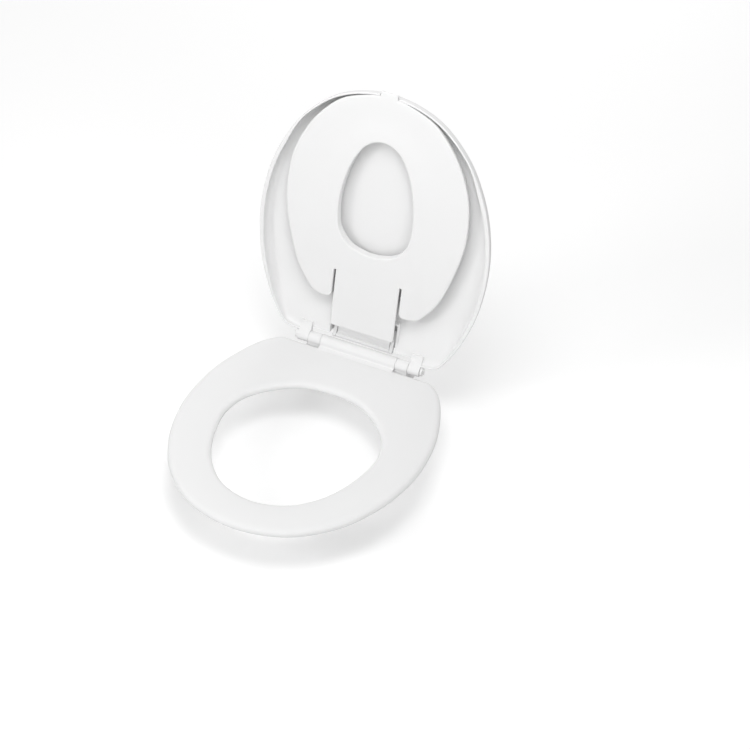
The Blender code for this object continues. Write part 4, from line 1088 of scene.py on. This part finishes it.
def leaf_outline():
    """The leaf from the side: its arch over the bar, the flat part, and back over the arch."""
    ahead, up = 2 * (PIVOT_AHEAD + FIT_GAP), 2 * FIT_GAP
    inside = BAR_RADIUS + 0.0018
    outside = inside + LEAF_THICK
    return [
        (PIVOT_AHEAD - BARREL_RADIUS * 0.2, PIVOT_UP + BARREL_RADIUS * 0.2),
        *arc(ahead, up, inside, 118, 46, 20),
        (ahead + inside * 0.86, LEAF_LOW + 0.0034), (ahead + inside * 1.02, LEAF_LOW + 0.0012),
        (ahead + inside * 1.35, LEAF_LOW), (LEAF_TOP_END - 0.02, LEAF_LOW),
        (LEAF_TOP_END, LEAF_LOW), (LEAF_TOP_END, LEAF_HIGH), (LEAF_TOP_END - 0.02, LEAF_HIGH),
        (ahead + outside * 1.45, LEAF_HIGH), (ahead + outside * 1.22, LEAF_HIGH + 0.0006),
        (ahead + outside * 0.98, LEAF_HIGH + 0.0024),
        *arc(ahead, up, outside, 46, 118, 20),
        (PIVOT_AHEAD + BARREL_RADIUS * 0.5, PIVOT_UP + BARREL_RADIUS * 0.8),
    ]


PLATE_STEP = 0.00002  # the wide plate lies this much inside the drawn-out profile
PIVOT_BORE = PIVOT_RADIUS + FIT_GAP
leaf = start_piece(extruded("leaf", leaf_outline(), -NECK_HALF, NECK_HALF, soft=0.0005))
join(leaf, block("leaf_plate", (-LEAF_HALF, NECK_END, LEAF_LOW + PLATE_STEP),
                 (LEAF_HALF, LEAF_TOP_END - FIT_GAP, LEAF_HIGH - PLATE_STEP), soft=0.0006))
join(leaf, rod("barrel", -NECK_HALF - 0.0009, NECK_HALF + 0.0009, BARREL_RADIUS, PIVOT_AHEAD,
               PIVOT_UP, soft=0.0003))
cut(leaf, rod("pivot_bore", -2 * FAR, 2 * FAR, PIVOT_BORE, PIVOT_AHEAD, PIVOT_UP))
for side in (-1, 1):
    join(leaf, rod(f"clip_boss_{side}", side * (LEAF_HALF - CLIP_BOSS_LENGTH),
                   side * (LEAF_HALF - FIT_GAP), CLIP_BOSS, CLIP_AHEAD, CLIP_UP, soft=0.0004))
    cut(leaf, rod(f"clip_hole_{side}", side * (LEAF_HALF - CLIP_IN_LEAF), side * LEAF_HALF * 1.5,
                  CLIP_BORE, CLIP_AHEAD, CLIP_UP))
settle(leaf, OPEN)
hand_over(leaf, "child_seat", "hinge_plastic", "child_hinge_leaf")

ear = [
    *arc(PIVOT_AHEAD, PIVOT_UP, BARREL_RADIUS + FIT_GAP, 130, 320, 28),
    (BRACKET_END * 0.72, BRACKET_LOW + FIT_GAP),
    (BRACKET_START + FIT_GAP, BRACKET_LOW + FIT_GAP * 3), (BRACKET_START * 0.93, BRACKET_LOW),
]
bracket = start_piece(block("bracket", (-BRACKET_HALF, BRACKET_START, BRACKET_LOW),
                            (BRACKET_HALF, BRACKET_END, BRACKET_TOP), soft=0.0005))
for side in (-1, 1):
    join(bracket, extruded(f"ear_{side}", ear, side * EAR_INNER, side * EAR_OUTER, soft=0.0005))
cut(bracket, rod("ear_bore", -2 * FAR, 2 * FAR, PIVOT_BORE, PIVOT_AHEAD, PIVOT_UP))
for side in (-1, 1):
    cut(bracket, upright(f"screw_hole_{side}", side * SCREW_ACROSS, SCREW_AHEAD, -FAR, FAR,
                         SCREW_RADIUS))
settle(bracket, OPEN)
hand_over(bracket, "lid", "hinge_plastic", "child_hinge_bracket")

# %% [markdown]
# ## Posts and hinge pins
#
# Each post is a rounded head on a foot that the bolt goes through. Each pin ends in a round
# head with a raised grip across it, which lets the fingers turn the pin and shows its turn. A
# post could be carved from a block, but its head is round about the hinge line, so a profile
# pulled out along that line is exact. A pin is turned, as on a lathe.


# %% Posts and pins
def post(side, hand):
    centre, root = side * POST_CENTRE, (FOOT_LOW + FOOT_TOP) / 2
    stem = [
        *arc(0.0, 0.0, POST_HEAD, -30, 210, 64), (-POST_HEAD * 0.62, FOOT_TOP + 0.0012),
        (-POST_HEAD * 0.5, FOOT_TOP), (-POST_HEAD * 0.5, root), (POST_HEAD * 1.05, root),
        (POST_HEAD * 1.05, FOOT_TOP), (POST_HEAD * 0.98, FOOT_TOP + 0.0014),
    ]
    body = start_piece(extruded(f"post_{hand}", stem, centre - POST_HALF, centre + POST_HALF,
                                soft=0.0007))
    join(body, block("foot", (centre - FOOT_HALF, FOOT_BACK, FOOT_LOW),
                     (centre + FOOT_HALF, FOOT_FRONT, FOOT_TOP), soft=0.0016, steps=6))
    cut(body, rod("post_bore", centre - 2 * POST_HALF, centre + 2 * POST_HALF, PIN_BORE))
    cut(body, upright("bolt_bore", centre, BOLT_AHEAD, 2 * FOOT_LOW, 0.0, BOLT_BORE))
    settle(body, FLAT)
    hand_over(body, "hinge_base", "hinge_plastic", f"hinge_post_{hand}")


def pin(side, hand):
    tip, start = BAR_HALF - PIN_DEPTH, KNUCKLE_OUTER + FIT_GAP
    end, soft, point = start + PIN_HEAD_THICK, 0.0007, 0.0006
    profile = [
        (PIN_RADIUS - point, tip), (PIN_RADIUS, tip + point), (PIN_RADIUS, start),
        (PIN_HEAD - soft, start), *arc(PIN_HEAD - soft, start + soft, soft, -60, 0, 3),
        *arc(PIN_HEAD - soft, end - soft, soft, 0, 90, 4),
        (PIN_HEAD * 0.62, end), (PIN_HEAD * 0.56, end - 0.0006),
    ]
    mesh = turned(f"pin_{hand}", profile)
    mesh.transform(Matrix.Rotation(side * math.pi / 2, 4, "Y"))
    body = start_piece(outward(mesh))
    ends = sorted((side * (start + PIN_HEAD_THICK / 2), side * (start + PIN_HEAD_THICK * 1.6)))
    join(body, block("grip", (ends[0], -PIN_HEAD * 0.22, -PIN_HEAD * 0.72),
                     (ends[1], PIN_HEAD * 0.22, PIN_HEAD * 0.72), PIN_HEAD * 0.16, 5))
    settle(body, FLAT)
    hand_over(body, f"pin_{hand}", "hinge_plastic", f"hinge_pin_{hand}")


for side, hand in ((-1, "left"), (1, "right")):
    post(side, hand)
    pin(side, hand)

# %% [markdown]
# ## Bolts, sleeves and nuts
#
# The seat is clamped down by two plastic bolts with wing nuts. A Screw modifier could
# wind the thread, but it leaves open ends to close. Here a thread is a round bar whose radius
# follows a wave that climbs as it goes round, which stays one closed skin. The nuts get grip
# ribs from the repeating tree.


# %% Bolts
def bolt_place(side):
    return FLAT @ Matrix.Translation((side * POST_CENTRE, -BOLT_AHEAD, 0.0))


def threaded(name, low, high, steps=40):
    """A threaded bar along Z that is drawn in a little at its lower end."""
    turns = np.linspace(0, 2 * math.pi, steps, endpoint=False)
    loops = []
    for height in np.arange(low, high + THREAD_PITCH / 12, THREAD_PITCH / 6):
        wave = np.abs(((height / THREAD_PITCH - turns / (2 * math.pi)) % 1.0) * 2 - 1)
        reach = BOLT_RADIUS - THREAD_DEPTH * np.clip(wave * 1.3 - 0.15, 0.0, 1.0)
        reach = reach - THREAD_DEPTH * max(0.0, 1 - (height - low) / THREAD_TAPER)
        loops.append(points_at(reach * np.cos(turns), reach * np.sin(turns), height))
    return skin(name, loops, False)


def bolt(side, hand):
    under = FOOT_TOP + FIT_GAP
    neck, brim = BOLT_RADIUS - 0.0001, under + 0.0009
    head = [(neck, under - 0.008), (neck, under), (BOLT_HEAD - 0.0003, under),
            (BOLT_HEAD, under + 0.0003), (BOLT_HEAD, brim)]
    head += [(BOLT_HEAD * math.cos(turn), brim + BOLT_DOME * math.sin(turn))
             for turn in np.radians((12, 24, 36, 48, 60, 72, 82))]
    body = start_piece(threaded(f"bolt_{hand}", BOLT_TIP, under - 0.006))
    join(body, turned("bolt_head", head))
    for across, ahead in ((SLOT_HALF_LENGTH, SLOT_HALF_WIDTH), (SLOT_HALF_WIDTH, SLOT_HALF_LENGTH)):
        cut(body, block("slot", (-across, -ahead, under + 0.0020), (across, ahead, under + 0.006),
                        soft=0.0002))
    settle(body, bolt_place(side))
    hand_over(body, "hinge_base", "bolt_plastic", f"mounting_bolt_{hand}")


def sleeve(side, hand):
    mouth, wide = BOLT_BORE + 0.0016, NUT_RADIUS * 1.05
    top, low = SLEEVE_MIDDLE + SLEEVE_RISE, SLEEVE_MIDDLE - SLEEVE_RISE
    profile = [(mouth - 0.0004, top - 0.0002), (mouth, top - 0.0006)]
    for share in (0.15, 0.32, 0.5, 0.68, 0.85):
        reach = mouth + (wide - mouth) * share
        height = SLEEVE_MIDDLE + SLEEVE_RISE * (1 - 1.4 * share)
        profile += [(reach - 0.0002, height + 0.0002), (reach + 0.0001, height - 0.0003)]
    profile += [(wide, SLEEVE_MIDDLE - SLEEVE_RISE * 0.4), (wide, low + 0.0005),
                (wide - 0.0005, low), (BOLT_BORE + 0.001, low)]
    body = start_piece(turned(f"sleeve_{hand}", profile))
    cut(body, upright("sleeve_bore", 0.0, 0.0, -2 * FAR, -FAR, BOLT_BORE))
    settle(body, bolt_place(side), 40.0)
    hand_over(body, "hinge_base", "bumper", f"bolt_bushing_{hand}")


# %% Wing nuts
def wing_outline():
    """Both wings in one outline, seen from the side; their lower corners are round."""
    top, low = NUT_TOP - NUT_HEIGHT * 0.3, NUT_TOP - NUT_HEIGHT * 0.92 + WING_ROUND
    corner = WING_SPAN - WING_ROUND
    return [
        (-WING_SPAN, top - WING_CUT), (-WING_SPAN, low),
        *arc(-corner, low, WING_ROUND, 190, 260, 6), *arc(corner, low, WING_ROUND, -80, -20, 4),
        (WING_SPAN, low), (WING_SPAN, top - WING_CUT), (WING_SPAN - WING_CUT, top),
        (WING_CUT - WING_SPAN, top),
    ]


def nut(side, hand):
    radius, low, soft = NUT_RADIUS * 0.85, NUT_TOP - NUT_HEIGHT, 0.0010
    collar = NUT_TOP - NUT_HEIGHT * 0.2
    profile = [
        *arc(radius - soft, low + soft, soft, -90, 0, 4), (radius, collar),
        (NUT_RADIUS - 0.0004, collar), (NUT_RADIUS, collar + 0.0004),
        (NUT_RADIUS, NUT_TOP - 0.0005), (NUT_RADIUS - 0.0004, NUT_TOP - 0.0001),
    ]
    body = start_piece(turned(f"nut_{hand}", profile))
    wings = extruded("wings", wing_outline(), -NUT_RADIUS * 0.17, NUT_RADIUS * 0.17, soft=0.0007)
    wings.transform(Matrix.Rotation(math.pi / 2, 4, "Z"))
    join(body, wings)
    cut(body, upright("nut_bore", 0.0, 0.0, -3 * FAR, -FAR, BOLT_BORE))
    settle(body, bolt_place(side))
    hand_over(body, "hinge_base", "bolt_plastic", f"mounting_nut_{hand}")
    rows = []
    for number in range(NUT_RIBS):
        turn = 2 * math.pi * (number + 0.5) / NUT_RIBS
        if abs(math.sin(turn)) > 0.3:
            rows.append(((radius * math.cos(turn), radius * math.sin(turn),
                          NUT_TOP - NUT_HEIGHT * 0.58), (0.0, 0.0, turn), (1.0, 1.0, 1.0)))
    rib = block("grip_rib", (-0.0006, -0.0005, -NUT_HEIGHT * 0.3),
                (0.0006, 0.0005, NUT_HEIGHT * 0.3), soft=0.0004, steps=3)
    ribs = repeated(f"nut_ribs_{hand}", rib, rows, "bolt_plastic", bolt_place(side))
    hand_over(ribs, "hinge_base", "bolt_plastic", f"mounting_nut_{hand}")


for side, hand in ((-1, "left"), (1, "right")):
    bolt(side, hand)
    sleeve(side, hand)
    nut(side, hand)

# %% [markdown]
# ## What stays as packed
#
# The steel pins and screws, the catch plate, and the magnet with its cap are plain rods and
# discs, and hardly seen. Building them again would add nothing, so they keep their packed
# shape. Their faces come apart at the seams, and their edges are sharp. Two modifiers close the
# seams and round the edges, and each piece gets its finish.

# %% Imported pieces
SOFT_EDGES = {
    "child_pivot_pin": 0.0003, "leaf_clip_pin_left": 0.0003, "leaf_clip_pin_right": 0.0003,
    "bracket_screw_left": 0.0002, "bracket_screw_right": 0.0002,
    "lid_catch_plate": 0.0002, "magnet_cap": 0.0002, "child_ring_magnet": 0.0002,
}
slot_of = {row["node"]: row["material_slot"] for row in frame["record"]["subparts"]}
for name, width in SOFT_EDGES.items():
    fitting = nodes[name]
    seam = fitting.modifiers.new("close seams", "WELD")
    seam.merge_threshold = 0.00001
    soft = fitting.modifiers.new("soft edges", "BEVEL")
    soft.width = width
    soft.segments = 3
    soft.limit_method = "ANGLE"
    soft.angle_limit = math.radians(40)
    soft.harden_normals = True
    for place in fitting.material_slots:
        place.link = "OBJECT"
        place.material = FINISHES[slot_of[name]]
    print(name, "slots:", len(fitting.material_slots), "finish:", slot_of[name])

# %% [markdown]
# ## Floor and light
#
# White on white needs soft light that still has a direction. The floor is plain and pale and
# keeps the shadow. Broad lamps stand to the left, to the right and behind, a smaller one hangs
# above and draws the bright lines on the edges, and an even white world fills the shadows. The
# background is made white by a glow that only the camera and shiny faces see, so that it puts
# no extra light on the seat.

# %% Floor
def seen_directly(tree):
    """1 for what the camera, a shiny face or clear material shows, 0 for light on other faces."""
    path = add_node(tree, "ShaderNodeLightPath")
    camera_ray, glossy_ray, clear_ray = (Field(tree, path.outputs[f"Is {kind} Ray"])
                                         for kind in ("Camera", "Glossy", "Transmission"))
    return camera_ray.or_more(glossy_ray).or_more(clear_ray)


FLOOR_Z, FLOOR_HALF, FLOOR_GLOW = -0.0565, 30.0, 0.28
floor_mesh = bpy.data.meshes.new("floor")
with edited(floor_mesh) as work:
    bmesh.ops.create_grid(work, x_segments=1, y_segments=1, size=FLOOR_HALF)
floor = bpy.data.objects.new("floor", outward(floor_mesh))
floor.location = (0.0, 0.0, FLOOR_Z)
scene.collection.objects.link(floor)
floor_look = Look("floor_white")
speckle = floor_look.noise(0.4, 3.0)
floor_look.set(Base_Color=speckle.mix((0.775, 0.775, 0.775), (0.785, 0.785, 0.785)), Roughness=0.9)
floor.data.materials.append(floor_look.material)
glow = floor_look.field("ShaderNodeEmission", "Emission", (),
                        {"Strength": seen_directly(floor_look.tree) * FLOOR_GLOW})
surface = Field(floor_look.tree, floor_look.shader.outputs["BSDF"])
both = floor_look.field("ShaderNodeAddShader", "Shader", (), {0: surface, 1: glow})
feed(floor_look.tree, floor_look.tree.nodes["Material Output"].inputs["Surface"], both)
print("floor at", FLOOR_Z)

# %% Light
WORLD_FILL = 0.54
world = bpy.data.worlds.new("even_white")
scene.world = world
world.use_nodes = True
sky = world.node_tree.nodes["Background"].inputs
feed(world.node_tree, sky["Color"], (1.0, 1.0, 1.0, 1.0))
feed(world.node_tree, sky["Strength"],
     seen_directly(world.node_tree).between(0.0, 1.0, WORLD_FILL, 1.0))


def softbox(name, spot, aim, size, power):
    """A square lamp of size metres at a spot, turned to its aim; power in watts."""
    lamp = bpy.data.lights.new(name, "AREA")
    lamp.shape = "SQUARE"
    lamp.size = size
    lamp.energy = power
    made = bpy.data.objects.new(name, lamp)
    made.location = spot
    made.rotation_euler = (Vector(aim) - Vector(spot)).to_track_quat("-Z", "Y").to_euler()
    scene.collection.objects.link(made)


softbox("key", (-1.5, -2.0, 1.3), (0.0, -0.15, 0.15), size=0.7, power=15.0)
softbox("above", (0.1, -0.6, 1.35), (0.0, -0.12, 0.15), size=0.6, power=7.2)
softbox("side", (1.8, -2.0, 1.0), (0.0, -0.15, 0.15), size=1.2, power=10.0)
softbox("behind", (-0.6, 2.2, 1.4), (0.0, 0.0, 0.2), size=1.2, power=13.0)
print("lamps ready")

# %% [markdown]
# ## Camera
#
# The camera stands where the photograph was taken from. Its place and angles came from fitting
# the known bolt spacing and the rings' outlines to the photograph. A long lens keeps the rings'
# shapes close to what the eye expects. The camera is set by its own three directions, because
# it is also tilted a little to one side.

# %% Camera
CAMERA_SPOT = Vector((0.88925, -2.39224, 1.93540))
YAW, PITCH, ROLL = -0.3474, 0.6558, 0.0937
SENSOR, FOCAL_PIXELS, PHOTO_PIXELS = 36.0, 2152.0, 750.0
forward = Vector((math.sin(YAW) * math.cos(PITCH), math.cos(YAW) * math.cos(PITCH),
                  -math.sin(PITCH)))
right = Vector((math.cos(YAW), -math.sin(YAW), 0.0))
up = right.cross(forward)
turned_right = right * math.cos(ROLL) + up * math.sin(ROLL)
turned_up = up * math.cos(ROLL) - right * math.sin(ROLL)
lens = bpy.data.cameras.new("photo_camera")
lens.sensor_width = SENSOR
lens.lens = SENSOR * FOCAL_PIXELS / PHOTO_PIXELS
camera = bpy.data.objects.new("photo_camera", lens)
camera.matrix_world = Matrix((
    (*turned_right, 0.0), (*turned_up, 0.0), (*-forward, 0.0), (*CAMERA_SPOT, 1.0),
)).transposed()
scene.collection.objects.link(camera)
scene.camera = camera
scene.view_settings.view_transform = "Standard"
print("camera at", [round(value, 3) for value in CAMERA_SPOT])
